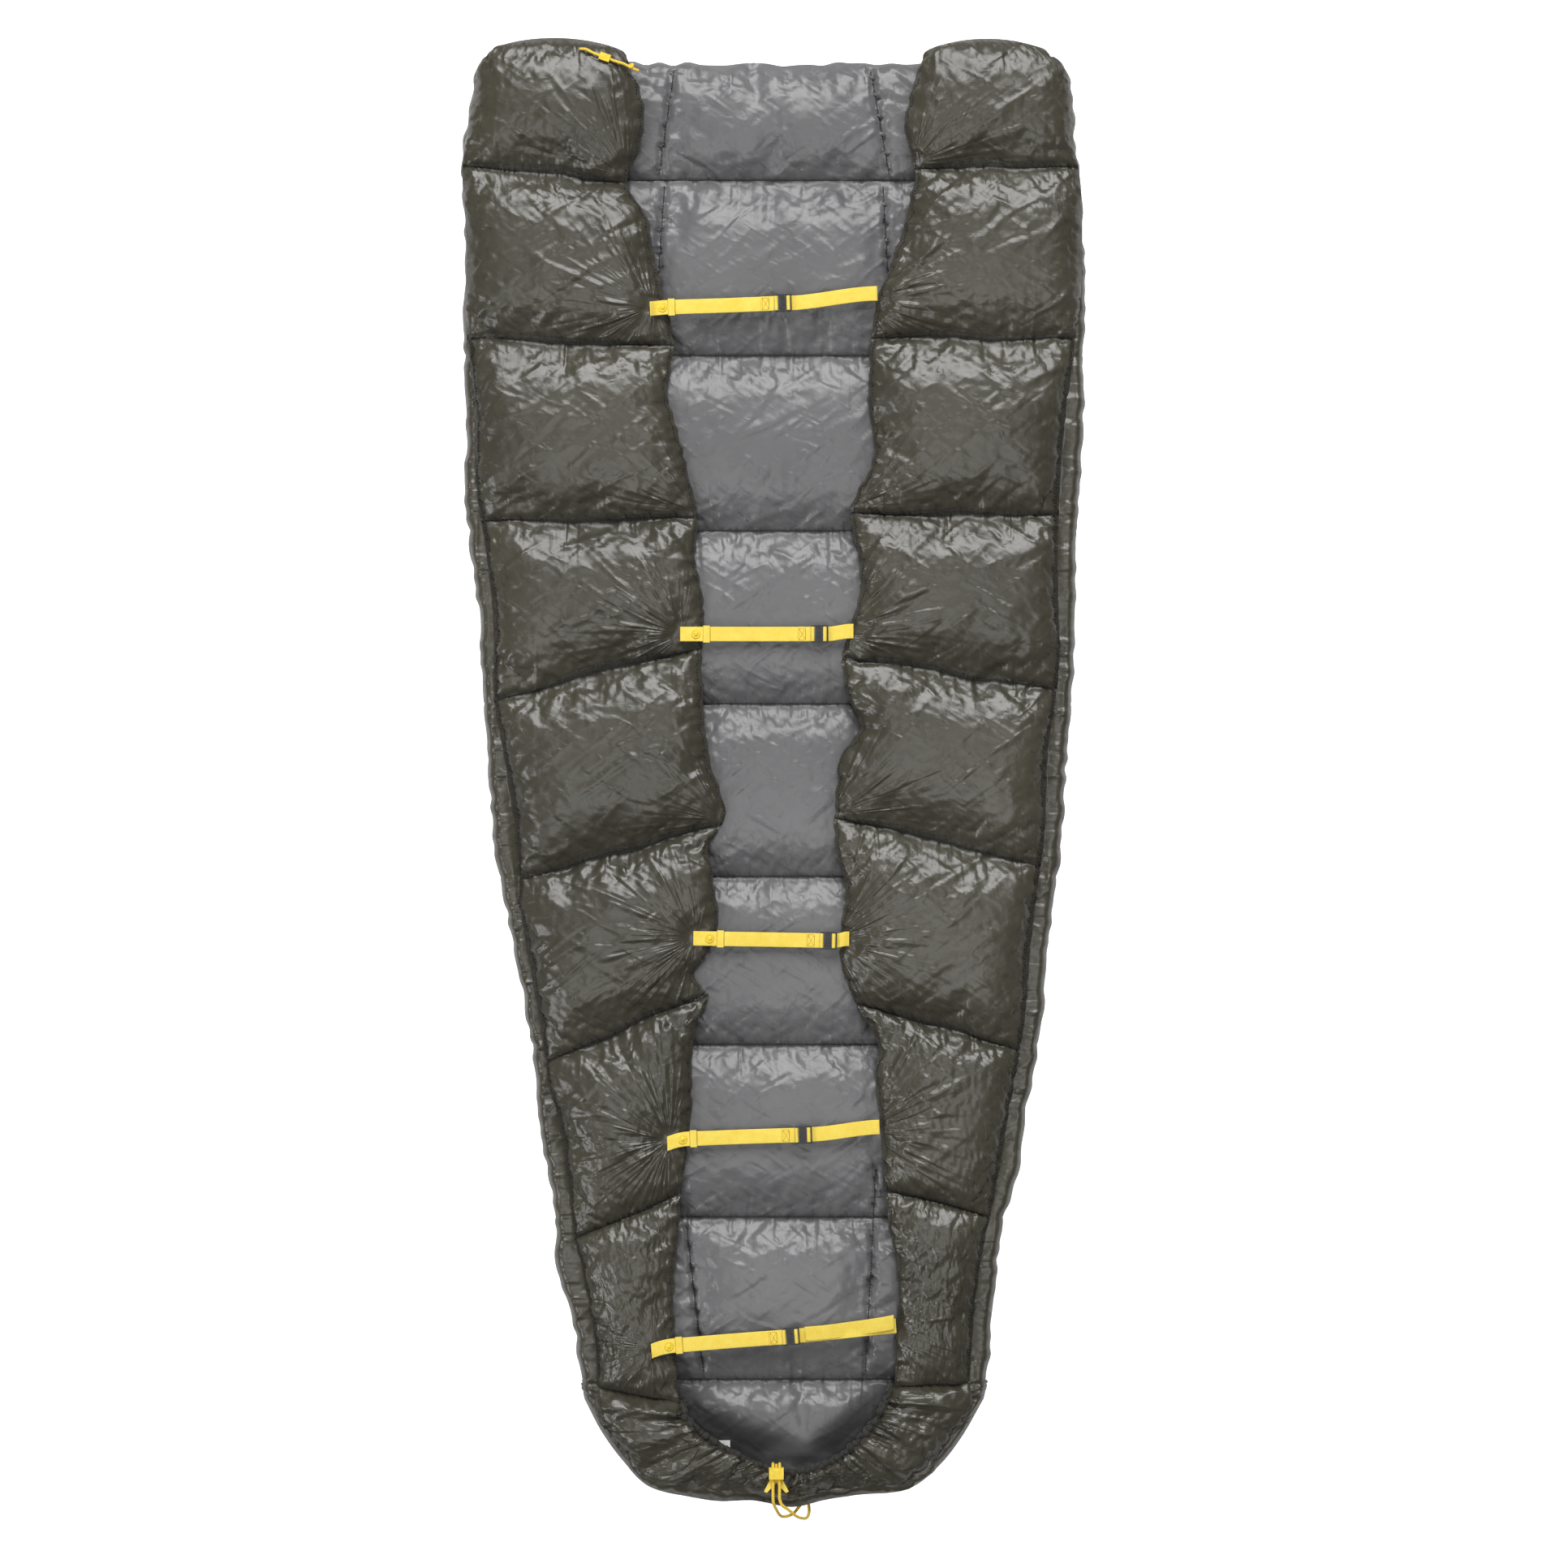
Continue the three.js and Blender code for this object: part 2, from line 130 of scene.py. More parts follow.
# The liner that shows between the flaps, with a margin under them.
LINER_LEFT = [
    (-238, 975), (-226, 815), (-190, 600), (-158, 350), (-135, 100), (-118, -80), (-140, -300),
    (-160, -600), (-172, -835),
]
LINER_RIGHT = [
    (238, 975), (222, 815), (176, 600), (152, 350), (138, 100), (122, -60), (146, -320), (184, -600),
    (192, -835),
]
# Lengthwise stitching that divides the liner, [X, Y] at both ends.
LINER_TUCKS = [
    [(-139, 964), (-160, 819)], [(-152, 806), (-162, 660)], [(131, 964), (157, 819)],
    [(148, 806), (155, 680)], [(-122, -622), (-98, -826)], [(138, -545), (124, -826)],
]
LIP_OUTER = [
    (-243, -845), (-246, -868), (-230, -900), (-203, -936), (-172, -966), (-116, -982), (-76, -988),
    (-32, -988), (26, -996), (68, -987), (110, -981), (182, -970), (223, -938), (244, -908), (268, -866),
    (267, -845),
]
LIP_HEM = [
    (-132, -865), (-122, -886), (-97, -909), (-62, -931), (-26, -947), (0, -956), (26, -959), (60, -953),
    (88, -940), (114, -918), (144, -882), (163, -845),
]
# The side stitch line goes on round the foot and ends at the hem.
FOOT_STITCHES = [
    [(-243, -845), (-229, -900), (-200, -940), (-162, -962), (-124, -950), (-103, -922)],
    [(267, -845), (263, -880), (248, -910), (214, -936), (160, -954), (120, -936)],
]

# Heights in millimetres.
LEVEL = SimpleNamespace(
    rim=20, roll=38, under_seam=12, under_crown=25, liner_seam=15, liner_crown=32,
    flap_seam=36, flap_back=35, flap_back_crown=26, flap_outer=35, flap_inner=41,
    flap_crown=55, lip_end=32, lip_hem=46, lip_outer=34, lip_crown=54, strap_bed=54.5,
    strap_bed_top=55.6,
)
FOOT_Y = -860  # where the straight sides end and the round foot begins
STEP = 4.6  # spacing of a sheet's rows
LIP_STEP = 3.2
FLAP_COLUMNS = 62
LINER_COLUMNS = 76
LIP_ROWS, LIP_COLUMNS = 150, 34
FAN_ROWS = 30  # rows that fan out round the foot
ROLL = 9  # how far in from the side edge the rolled underside reaches its full height
STRIP_PAST = 9  # how far past the side's stitch line the shell goes on before the liner starts
FLATTEN = 0.56  # the sheets are blown up taller than the quilt and then pressed to this share
FLAP_PRESSURE, LINER_PRESSURE, LIP_PRESSURE = 4.5, 4.0, 4.0
SHRINK, LIP_SHRINK = -0.08, -0.1  # negative: the cloth grows by this share, which wrinkles it
FOOT_STRAP = 5  # this one lies on the part of the flaps that does not fold
STRAP_WIDTH = 20
THREAD_LIFT = 0.4  # how far seam stitches stand proud of the cloth


# ---- small helpers ----

def add_object(name, data):
    made = bpy.data.objects.new(name, data)
    SCENE.collection.objects.link(made)
    return made


def smooth(start, end, value):
    t = np.clip((value - start) / (end - start), 0, 1)
    return t * t * (3 - 2 * t)


def hermite(knots, values, query):
    """A smooth curve through (knot, value) pairs."""
    knots, values = np.asarray(knots, float), np.asarray(values, float)
    slope = np.gradient(values, knots)
    query = np.clip(query, knots[0], knots[-1])
    i = np.clip(np.searchsorted(knots, query) - 1, 0, len(knots) - 2)
    h = knots[i + 1] - knots[i]
    t = (query - knots[i]) / h
    return (
        (2 * t**3 - 3 * t**2 + 1) * values[i] + (t**3 - 2 * t**2 + t) * h * slope[i]
        + (3 * t**2 - 2 * t**3) * values[i + 1] + (t**3 - t**2) * h * slope[i + 1]
    )


def x_at(line, y):
    """X of a head to foot line at Y."""
    points = np.array(line, float)[::-1]
    return hermite(points[:, 1], points[:, 0], y)


def unit(vectors):
    return vectors / np.maximum(np.linalg.norm(vectors, axis=1), 1e-6)[:, None]


def lengths(path):
    """How far along a path each of its points is."""
    return np.r_[0, np.cumsum(np.linalg.norm(np.diff(path, axis=0), axis=1))]


def along(path, share):
    """Points at shares of a path's length, the path smoothed through its corners."""
    path = np.array(path, float)
    knots = lengths(path)
    query = np.asarray(share) * knots[-1]
    return np.stack([hermite(knots, path[:, i], query) for i in range(path.shape[1])], -1)


def wavy(rng, count, spacing, wavelength):
    """A smooth random line of that many points, about -1 to 1."""
    knots = max(4, int(count * spacing / wavelength * 2))
    values = rng.uniform(-1, 1, knots)
    return hermite(np.linspace(0, count - 1, knots), values, np.arange(count, dtype=float))


def chamber(share, power=2.6):
    """Section of a filled chamber between two seams, 0 at each seam and 1 in the middle."""
    return (1 - np.abs(2 * share - 1) ** power) ** (1 / power)


def rounded(distance, width):
    """A quarter round that rises from 0 at an edge to 1 at that width."""
    return np.sqrt(1 - (1 - np.clip(distance / width, 0, 1)) ** 2)


def soft_limit(z, base, room):
    return np.where(z > base, base + room * np.tanh((z - base) / room), z)


def distance_to(points, path):
    """Distance in plan from each point to a polyline."""
    flat = points.reshape(-1, 2)
    best = np.full(len(flat), 1e9)
    for a, b in zip(path[:-1], path[1:]):
        ab = b - a
        t = np.clip(((flat - a) @ ab) / max(ab @ ab, 1e-9), 0, 1)
        best = np.minimum(best, np.linalg.norm(flat - a - t[:, None] * ab, axis=1))
    return best.reshape(points.shape[:-1])


def grid_faces(rows, columns):
    """Faces of a grid whose rows run to -Y and columns to +X, facing up."""
    i = np.arange((rows - 1) * (columns - 1))
    a = i // (columns - 1) * columns + i % (columns - 1)
    return np.stack([a, a + columns, a + columns + 1, a + 1], 1)


def make_mesh(name, vertices, faces, material, values=None):
    """A smooth shaded object from vertices in millimetres, with named values per vertex.

    Vertices that no face uses are dropped.
    """
    faces = [list(map(int, face)) for face in faces]
    used = sorted({i for face in faces for i in face})
    where = {old: new for new, old in enumerate(used)}
    mesh = bpy.data.meshes.new(name)
    points = np.asarray(vertices, float).reshape(-1, 3)[used] * MM
    mesh.from_pydata(points.tolist(), [], [[where[i] for i in face] for face in faces])
    mesh.materials.append(material)
    for key, value in (values or {}).items():
        value = np.asarray(value, np.float32).reshape(len(vertices), -1)[used]
        kind, field = ("FLOAT", "value") if value.shape[1] == 1 else ("FLOAT_VECTOR", "vector")
        mesh.attributes.new(key, kind, "POINT").data.foreach_set(field, value.ravel())
    mesh.polygons.foreach_set("use_smooth", [True] * len(mesh.polygons))
    mesh.update()
    return add_object(name, mesh)


CLOTH = {
    "vertex_group_mass": "pin", "use_pressure": True, "quality": 4, "mass": 0.3, "air_damping": 1,
    "tension_stiffness": 15, "compression_stiffness": 15, "shear_stiffness": 5, "bending_stiffness": 0.03,
    "tension_damping": 5, "compression_damping": 5,
}
CLOTH_FRAMES = 20


def inflate(points, pinned, base, pressure, shrink):
    """Blows a pinned sheet up as cloth and returns its new points, in millimetres."""
    rows, columns = points.shape[:2]
    points = points.copy()
    points[..., 2] = base + (points[..., 2] - base) / FLATTEN
    mesh = bpy.data.meshes.new("sheet")
    mesh.from_pydata((points.reshape(-1, 3) * MM).tolist(), [], grid_faces(rows, columns).tolist())
    mesh.update()
    sheet = add_object("sheet", mesh)
    group = sheet.vertex_groups.new(name="pin")
    group.add([int(i) for i in np.flatnonzero(pinned.ravel())], 1.0, "REPLACE")
    cloth = sheet.modifiers.new("cloth", "CLOTH")
    for key, value in {**CLOTH, "uniform_pressure_force": pressure, "shrink_min": shrink}.items():
        setattr(cloth.settings, key, value)
    cloth.settings.effector_weights.gravity = 0
    cloth.collision_settings.use_collision = False
    cloth.collision_settings.use_self_collision = False
    cloth.point_cache.frame_start = 1
    cloth.point_cache.frame_end = CLOTH_FRAMES + 5
    for number in range(1, CLOTH_FRAMES + 1):
        SCENE.frame_set(number)
    evaluated = sheet.evaluated_get(bpy.context.evaluated_depsgraph_get()).data
    result = np.zeros(rows * columns * 3, np.float32)
    evaluated.vertices.foreach_get("co", result)
    bpy.data.objects.remove(sheet)
    SCENE.frame_set(1)
    result = result.reshape(rows, columns, 3).astype(float) / MM
    result[..., 2] = base + (result[..., 2] - base) * FLATTEN
    return result


# ---- materials ----

RIDGED = "RIDGED_MULTIFRACTAL"


class Shader:
    """A short way to write a material's node tree."""

    def __init__(self, name):
        self.material = bpy.data.materials.new(name)
        self.material.use_nodes = True
        self.tree = self.material.node_tree
        self.surface = self.tree.nodes["Principled BSDF"]
        self.place = self.node("TexCoord", "Object")

    def feed(self, socket, value):
        if isinstance(value, bpy.types.NodeSocket):
            self.tree.links.new(value, socket)
        else:
            socket.default_value = value

    def node(self, kind, output, inputs=None, **settings):
        """Adds a node, feeds its inputs with values or other nodes' outputs, and returns one output."""
        made = self.tree.nodes.new("ShaderNode" + kind)
        for key, value in settings.items():
            setattr(made, key, value)
        for key, value in (inputs or {}).items():
            self.feed(made.inputs[key], value)
        return made.outputs[output]

    def set(self, **values):
        for key, value in values.items():
            self.feed(self.surface.inputs[key.replace("_", " ")], value)

    def noise(self, scale, detail=4, rough=0.5, kind="FBM", distort=0.0, vector=None):
        inputs = {"Scale": scale, "Detail": detail, "Roughness": rough, "Distortion": distort}
        return self.node("TexNoise", 0, {**inputs, "Vector": vector or self.place}, noise_type=kind)

    def ridges(self, scale, turn, detail, rough, distort):
        """Sharp creases, so many per metre along each axis, after a turn about Z."""
        scale = tuple(1 / axis for axis in scale)
        inputs = {"Vector": self.place, "Scale": scale, "Rotation": (0, 0, turn)}
        stretched = self.node("Mapping", "Vector", inputs, vector_type="TEXTURE")
        return self.noise(1, detail, rough, RIDGED, distort, stretched)

    def value(self, name, output="Fac"):
        return self.node("Attribute", output, attribute_name=name)

    def wave(self, scale, direction, distort=0.0):
        inputs = {"Scale": scale, "Distortion": distort, "Vector": self.place}
        return self.node("TexWave", 1, inputs, bands_direction=direction)

    def math(self, operation, a, b):
        return self.node("Math", 0, {0: a, 1: b}, operation=operation)

    def ramp(self, factor, dark, light, start=0.3, end=0.7):
        colour = self.node("ValToRGB", "Color", {"Fac": factor})
        stops = ((start, dark), (end, light))
        for element, (position, shade) in zip(colour.node.color_ramp.elements, stops):
            element.position = position
            element.color = (*shade, 1)
        return colour

    def mix(self, factor, colour, other):
        return self.node("Mix", 2, {"Factor": factor, 6: colour, 7: (*other, 1)}, data_type="RGBA")

    def span(self, factor, low, high):
        return self.node("MapRange", "Result", {"Value": factor, "To Min": low, "To Max": high})

    def bump(self, *layers):
        """Stacks (height, depth in millimetres) layers and feeds the surface normal."""
        normal = {}
        for height, depth in layers:
            inputs = {"Strength": 1, "Distance": depth * MM, "Height": height}
            normal = {"Normal": self.node("Bump", "Normal", {**inputs, **normal})}
        self.set(**normal)


def nylon(name, dark, light, rough, gloss):
    """Thin glossy ripstop: gathers and fans along the seams, creases, patchy colour and a faint sheen."""
    s = Shader(name)
    # The seam value darkens the colour and dulls the gloss. It marks dark seam lines, and also painted shade
    # under the flaps' edges, under the foot hem and in the foot's gather valleys.
    seam = s.value("seam")
    colour = s.ramp(s.noise(5, 3), dark, light)
    s.set(Base_Color=s.mix(seam, colour, tuple(0.22 * c for c in dark)))
    s.set(Roughness=s.span(s.noise(14, 4), rough - 0.07, rough + 0.09))
    s.set(Specular_IOR_Level=s.span(seam, gloss, 0.1))
    s.set(Sheen_Weight=0.08, Sheen_Roughness=0.5)
    grid = s.math("MAXIMUM", s.wave(95, "X"), s.wave(95, "Y"))
    drape = s.ridges((9, 24, 12), 0.5, 3, 0.5, 0.7)
    creases = s.ridges((15, 48, 22), 0.65, 3, 0.6, 0.5)
    counter = s.ridges((18, 56, 22), -0.55, 3, 0.6, 0.5)
    fine = s.noise(70, 3, 0.6, RIDGED, 1.0)
    gathers = s.math("MULTIPLY", s.ridges((72, 11, 11), 0, 2, 0.5, 0.3), s.value("pucker"))
    cross = s.math("MULTIPLY", s.ridges((14, 85, 11), 0, 2, 0.5, 0.3), s.value("side_pucker"))
    fans = s.noise(1, 2.5, 0.5, RIDGED, 0.35, s.value("fold", "Vector"))
    fans = s.math("MULTIPLY", fans, s.value("fold_weight"))
    s.bump(
        (gathers, 3.8), (cross, 3.6), (fans, 5.0), (drape, 3.6), (creases, 2.4), (counter, 2.0),
        (fine, 0.4), (grid, 0.02),
    )
    return s.material


def fabric_tape(name, dark, light, rib):
    """Woven tape with ribs across it."""
    s = Shader(name)
    s.set(Base_Color=s.ramp(s.noise(60, 5, 0.7), dark, light), Roughness=0.72)
    s.set(Sheen_Weight=0.25, Sheen_Roughness=0.4, Specular_IOR_Level=0.35)
    weave = s.math("MULTIPLY", s.wave(rib, "X", 0.4), s.wave(rib * 1.3, "Y", 0.4))
    s.bump((s.noise(160, 3), 0.35), (weave, 0.16))
    return s.material


def moulded(name, colour, rough):
    """Moulded plastic with a faint grain and handling wear."""
    s = Shader(name)
    worn = tuple(min(1, c * 1.35 + 0.012) for c in colour)
    s.set(Base_Color=s.ramp(s.noise(240, 4), colour, worn, 0.42, 0.8))
    s.set(Roughness=s.span(s.noise(300, 3), rough - 0.06, rough + 0.1), Specular_IOR_Level=0.5)
    s.bump((s.noise(900, 3), 0.04))
    return s.material


def braided(name, dark, light):
    """Round cord with a slanting braid."""
    s = Shader(name)
    a = s.wave(150, "DIAGONAL")
    b = s.noise(420, 2, 0.5)
    blend = s.math("ADD", s.math("MULTIPLY", a, 0.6), s.math("MULTIPLY", b, 0.4))
    s.set(Base_Color=s.ramp(blend, dark, light, 0.25))
    s.set(Roughness=0.6, Sheen_Weight=0.3)
    s.bump((a, 0.3), (b, 0.12))
    return s.material


SHELL = nylon("shell_nylon", (0.043, 0.0385, 0.026), (0.062, 0.056, 0.039), 0.32, 0.6)
LINER = nylon("liner_nylon", (0.116, 0.115, 0.119), (0.153, 0.152, 0.156), 0.33, 0.5)
HEM = fabric_tape("hem_tape", (0.018, 0.017, 0.014), (0.036, 0.034, 0.029), 130)
THREAD = fabric_tape("stitch_thread", (0.012, 0.012, 0.011), (0.03, 0.03, 0.027), 400)
WEBBING = fabric_tape("yellow_webbing", (0.88, 0.64, 0.075), (0.95, 0.75, 0.13), 170)
WEBBING_THREAD = fabric_tape("yellow_thread", (0.66, 0.42, 0.02), (0.74, 0.50, 0.03), 400)
YELLOW = moulded("yellow_plastic", (0.83, 0.58, 0.03), 0.36)
BLACK = moulded("black_plastic", (0.012, 0.013, 0.015), 0.4)
CORD = braided("yellow_cord", (0.80, 0.50, 0.02), (0.96, 0.68, 0.05))
LABEL = fabric_tape("label_tape", (0.66, 0.66, 0.65), (0.80, 0.80, 0.79), 220)


def settle(piece, body, *nodes):
    """Puts a piece on its body, in place of CAD nodes where it has any."""
    if nodes:
        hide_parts(*nodes)
    if body:
        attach(piece, body)


# ---- straps: each one's own frame, from its joints and CAD nodes ----

def node_points(name):
    return np.array([v.co for v in frame["nodes"][name].data.vertices], float) / MM


class Strap:
    """A strap's frame: origin at its keeper, `side` along the strap to +X, `across` its width."""

    def __init__(self, number):
        self.number = number
        joint = JOINTS[f"strap_{number}_left_lift"]
        self.origin = np.array(joint["pos_m"]) / MM
        axis = np.array(joint["axis"], float)
        self.across = axis * math.copysign(1, axis[1])
        self.side = np.array([self.across[1], -self.across[0], 0.0])

    def name(self, part):
        return f"strap_{self.number}_{part}"

    def extent(self, part):
        """Lowest and highest place of a CAD node along the strap, and its height range."""
        points = node_points(self.name(part))
        s = (points - self.origin) @ self.side
        return s.min(), s.max(), points[:, 2].min(), points[:, 2].max()

    def point(self, s, t, z):
        flat = self.origin[:2] + s * self.side[:2] + t * self.across[:2]
        return np.array([flat[0], flat[1], z])


STRAPS = [Strap(number) for number in range(1, 6)]


# ---- cushions ----

def between(outer, inner, c):
    """A plan grid from a row's outer point to its inner one, at shares c of the way."""
    c = c[None, :, None]
    return outer[:, None] * (1 - c) + inner[:, None] * c


def with_height(flat, z):
    return np.concatenate([flat, z[..., None]], -1)


def pinned_border(shape):
    pinned = np.zeros(shape, bool)
    pinned[[0, -1]] = pinned[:, [0, -1]] = True
    return pinned


def seam_distance(rows, seam_rows):
    """Distance of every row from the nearest seam row."""
    return np.abs(np.arange(rows)[:, None] - np.array(seam_rows)[None]).min(1) * STEP


def two_sheets(top, back):
    """Vertices of two sheets that share their border, and the faces of each, facing out."""
    upper = np.arange(top[..., 0].size).reshape(top.shape[:2])
    lower = upper + upper.size
    lower[[0, -1]] = upper[[0, -1]]
    lower[:, [0, -1]] = upper[:, [0, -1]]
    faces = grid_faces(*upper.shape)
    vertices = np.concatenate([top.reshape(-1, 3), back.reshape(-1, 3)])
    return vertices, faces, lower.ravel()[faces][:, ::-1]


def on_both(values):
    """The same values for the upper and the lower sheet."""
    return {key: np.concatenate([value, value]) for key, value in values.items()}


def chamber_rows(seams, step):
    """From seams given as pairs of Y: both Y of every row, its share of its chamber, and the seam rows."""
    ends, share, seam_rows = [], [], [0]
    for upper, lower in zip(seams[:-1], seams[1:]):
        upper, lower = np.array(upper), np.array(lower)
        count = int(round((upper - lower).sum() / 2 / step))
        t = np.arange(count) / count
        ends.extend(upper + (lower - upper) * t[:, None])
        share.extend(t)
        seam_rows.append(len(share))
    ends = np.array(ends + [seams[-1]], float)
    return ends[:, 0], ends[:, 1], np.array(share + [0.0]), seam_rows


def strap_beds(side):
    """Where each strap lies on a flap: the strap and its bed's two ends along it."""
    beds = []
    for strap in STRAPS:
        if side == "left":
            s0, s1 = strap.extent("snap_tab")[0] - 2, strap.extent("keeper")[1] + 4
        else:
            s1 = strap.extent("tail")[1] + 6
            s0 = s1 - 34
        beds.append((strap, s0, s1))
    return beds


def bed_share(points, strap, s0, s1, soft):
    """1 on a strap's bed, falling to 0 over a soft border."""
    flat = points[..., :2] - strap.origin[:2]
    s = flat @ strap.side[:2]
    t = flat @ strap.across[:2]
    outside = np.hypot(np.maximum(0, np.maximum(s0 - s, s - s1)), np.maximum(0, np.abs(t) - 11))
    return 1 - smooth(0, soft, outside)


def add_folds(points, rng, centre, toward, count, reach, height):
    """Tension folds that fan out from a strap's end."""
    away = points[..., :2] - centre
    limit = np.zeros(points.shape[:2])
    for _ in range(count):
        angle = toward + rng.uniform(-1.15, 1.15)
        length = reach * rng.uniform(0.45, 1)
        width = rng.uniform(4.5, 8)
        bend = rng.uniform(-0.0016, 0.0016)
        direction = np.array([math.cos(angle), math.sin(angle)])
        s = away @ direction
        t = away @ np.array([-direction[1], direction[0]]) - bend * s**2
        spread = width * (0.5 + s / reach)
        ridge = np.clip(1 - np.abs(t) / np.maximum(spread, 1), 0, 1) ** 1.3
        ridge *= smooth(4, 26, s) * (1 - smooth(length * 0.4, length, s))
        limit = np.maximum(limit, ridge * rng.uniform(0.55, 1))
    points[..., 2] += height * limit
    return points


def fan_values(points, side, seam_rows, border):
    """Coordinates and weight of the fine tension folds, which fan out from one place in each chamber."""
    sign, inner = (-1, -1) if side == "left" else (1, 0)
    fold, weight = np.zeros_like(points), np.zeros_like(border)
    for k, (r0, r1) in enumerate(zip(seam_rows[:-1], seam_rows[1:])):
        span = slice(r0, r1 + 1)
        y0, y1 = points[r0, inner, 1], points[r1, inner, 1]
        centre, strength = points[r1, inner, :2] + (sign * 4, 6), 0.7
        for strap, s0, s1 in strap_beds(side):
            end = strap.point(s0 if side == "left" else s1 - 20, 0, 0)
            if y1 < end[1] < y0:
                centre, strength = end[:2], 0.35 if strap.number == FOOT_STRAP else 1.0
        away = (points[span, :, :2] - centre) * (sign, 1)
        r = np.hypot(away[..., 0], away[..., 1])
        angle = np.arctan2(away[..., 1], away[..., 0] + 6)
        apart = np.full_like(r, 7.3 * k + 31 * (sign > 0))
        fold[span] = np.stack([angle * 9 + 40 * k, r / 85, apart], -1)
        fade = smooth(4, 30, r) * (1 - smooth(70, 230, r)) * (1 - smooth(1.4, 2.3, np.abs(angle)))
        weight[span] = strength * fade * border[span]
    return {"fold": fold, "fold_weight": weight}


def flap_grid(side, rng):
    """Plan of a flap, its rows' shares of their chambers, the seam rows, its columns' shares, its width."""
    outer_y, inner_y, share, seam_rows = chamber_rows(FLAP_SEAMS[side], STEP)
    rows = len(share)
    outer = np.stack([x_at(FLAP_OUTER[side], outer_y), outer_y], -1)
    inner = np.stack([x_at(FLAP_INNER[side], inner_y), inner_y], -1)
    inner[:, 0] += 1.6 * wavy(rng, rows, STEP, 16) * np.sign(share)
    c = np.linspace(0, 1, FLAP_COLUMNS)
    c = c if side == "left" else 1 - c
    flat = between(outer, inner, c)
    head = (1 - smooth(0, 0.8, np.arange(rows) / seam_rows[1])) ** 1.5
    flat[..., 1] += 22 * head[:, None] * np.sin(math.pi * c) ** 0.55
    for row in seam_rows[1:]:
        wobble = 3.5 * wavy(rng, FLAP_COLUMNS, 1, 20) * np.sin(math.pi * c)
        near = np.exp(-((np.arange(rows) - row) / 9.0) ** 2)
        flat[..., 1] += near[:, None] * wobble * (0.3 if row == seam_rows[-1] else 1)
    width = np.abs(inner[:, 0] - outer[:, 0])[:, None]
    return flat, share, seam_rows, c, width


def press_beds(points, pinned, beds, from_inner):
    """Holds the cushion down under its straps before it is blown up."""
    for strap, s0, s1 in beds:
        bed = bed_share(points, strap, s0, s1, 16)
        z = points[..., 2]
        z += (np.minimum(z, LEVEL.strap_bed) - z) * bed
        hold = (bed > 0.98) & (from_inner > 3)
        points[..., 2] = np.where(hold, LEVEL.strap_bed - 5 * (1 - smooth(0, 16, from_inner)), z)
        pinned |= hold


def fold_beds(points, pinned, beds, side, rng, puff):
    """Adds the tension folds at the straps' ends and flattens the cushion under the straps."""
    sign = -1 if side == "left" else 1
    for strap, s0, s1 in beds:
        centre = strap.point((s0 if side == "left" else s1) + sign * 2, 0, 0)[:2]
        before = points[..., 2].copy()
        points = add_folds(points, rng, centre, math.atan2(0.45, sign), 11, 165, 4.2)
        points[..., 2] = before + (points[..., 2] - before) * puff * (~pinned)
        low = np.minimum(points[..., 2], LEVEL.strap_bed_top)
        points[..., 2] += (low - points[..., 2]) * bed_share(points, strap, s0, s1, 9)


def build_flap(side):
    """Shell and liner sheets of one flap, blown up between its seams."""
    rng = np.random.default_rng(11 if side == "left" else 12)
    flat, share, seam_rows, c, width = flap_grid(side, rng)
    rows = len(share)
    from_outer, from_inner = c * width, (1 - c) * width
    border = rounded(from_outer, 34) * rounded(from_inner, 46)
    puff = chamber(share)[:, None]
    edge_z = LEVEL.flap_outer * (1 - c) + LEVEL.flap_inner * c
    edge_z = edge_z + 2.4 * wavy(rng, rows, STEP, 14)[:, None] * smooth(0.8, 1, c)
    seam_z = edge_z + (LEVEL.flap_seam - edge_z) * border
    z = seam_z * (1 - puff) + edge_z * puff
    z = z + (LEVEL.flap_crown - LEVEL.flap_seam) * puff * border
    z = z + rng.normal(0, 0.7, z.shape) * (puff * border > 0.05)
    points = with_height(flat, z)
    pinned = pinned_border(z.shape)
    pinned[seam_rows[1:-1]] = True
    beds = [bed for bed in strap_beds(side) if bed[0].number != FOOT_STRAP]
    press_beds(points, pinned, beds, from_inner)
    points = inflate(points, pinned, LEVEL.flap_seam, FLAP_PRESSURE, SHRINK)
    points[..., 2] = soft_limit(points[..., 2], LEVEL.flap_seam + 14, 22)
    fold_beds(points, pinned, beds, side, rng, puff)
    seams_and_painted_shade = np.zeros(z.shape)
    seams_and_painted_shade[seam_rows[1:-1]] = 1
    seams_and_painted_shade[seam_rows[2]:, 1 if side == "left" else -2] = 0.8
    values = {
        "pucker": np.exp(-seam_distance(rows, seam_rows) / 32)[:, None] * border,
        "side_pucker": np.exp(-from_outer / 17) + 0.8 * np.exp(-from_inner / 15),
        "seam": seams_and_painted_shade,
        **fan_values(points, side, seam_rows, border),
    }
    back = points.copy()
    dip = puff * rounded(from_outer, 20) * rounded(from_inner, 60)
    floor = LEVEL.flap_back + (LEVEL.flap_back_crown - LEVEL.flap_back) * dip
    back[..., 2] = np.minimum(points[..., 2] - 0.8, floor + 0.6 * rng.normal(0, 1, z.shape) * dip)
    vertices, faces, back_faces = two_sheets(points, back)
    values = on_both(values)
    shell = make_mesh(f"flap_{side}_shell", vertices, faces, SHELL, values)
    liner = make_mesh(f"flap_{side}_liner", vertices, back_faces, LINER, values)
    return shell, liner, points, seam_rows


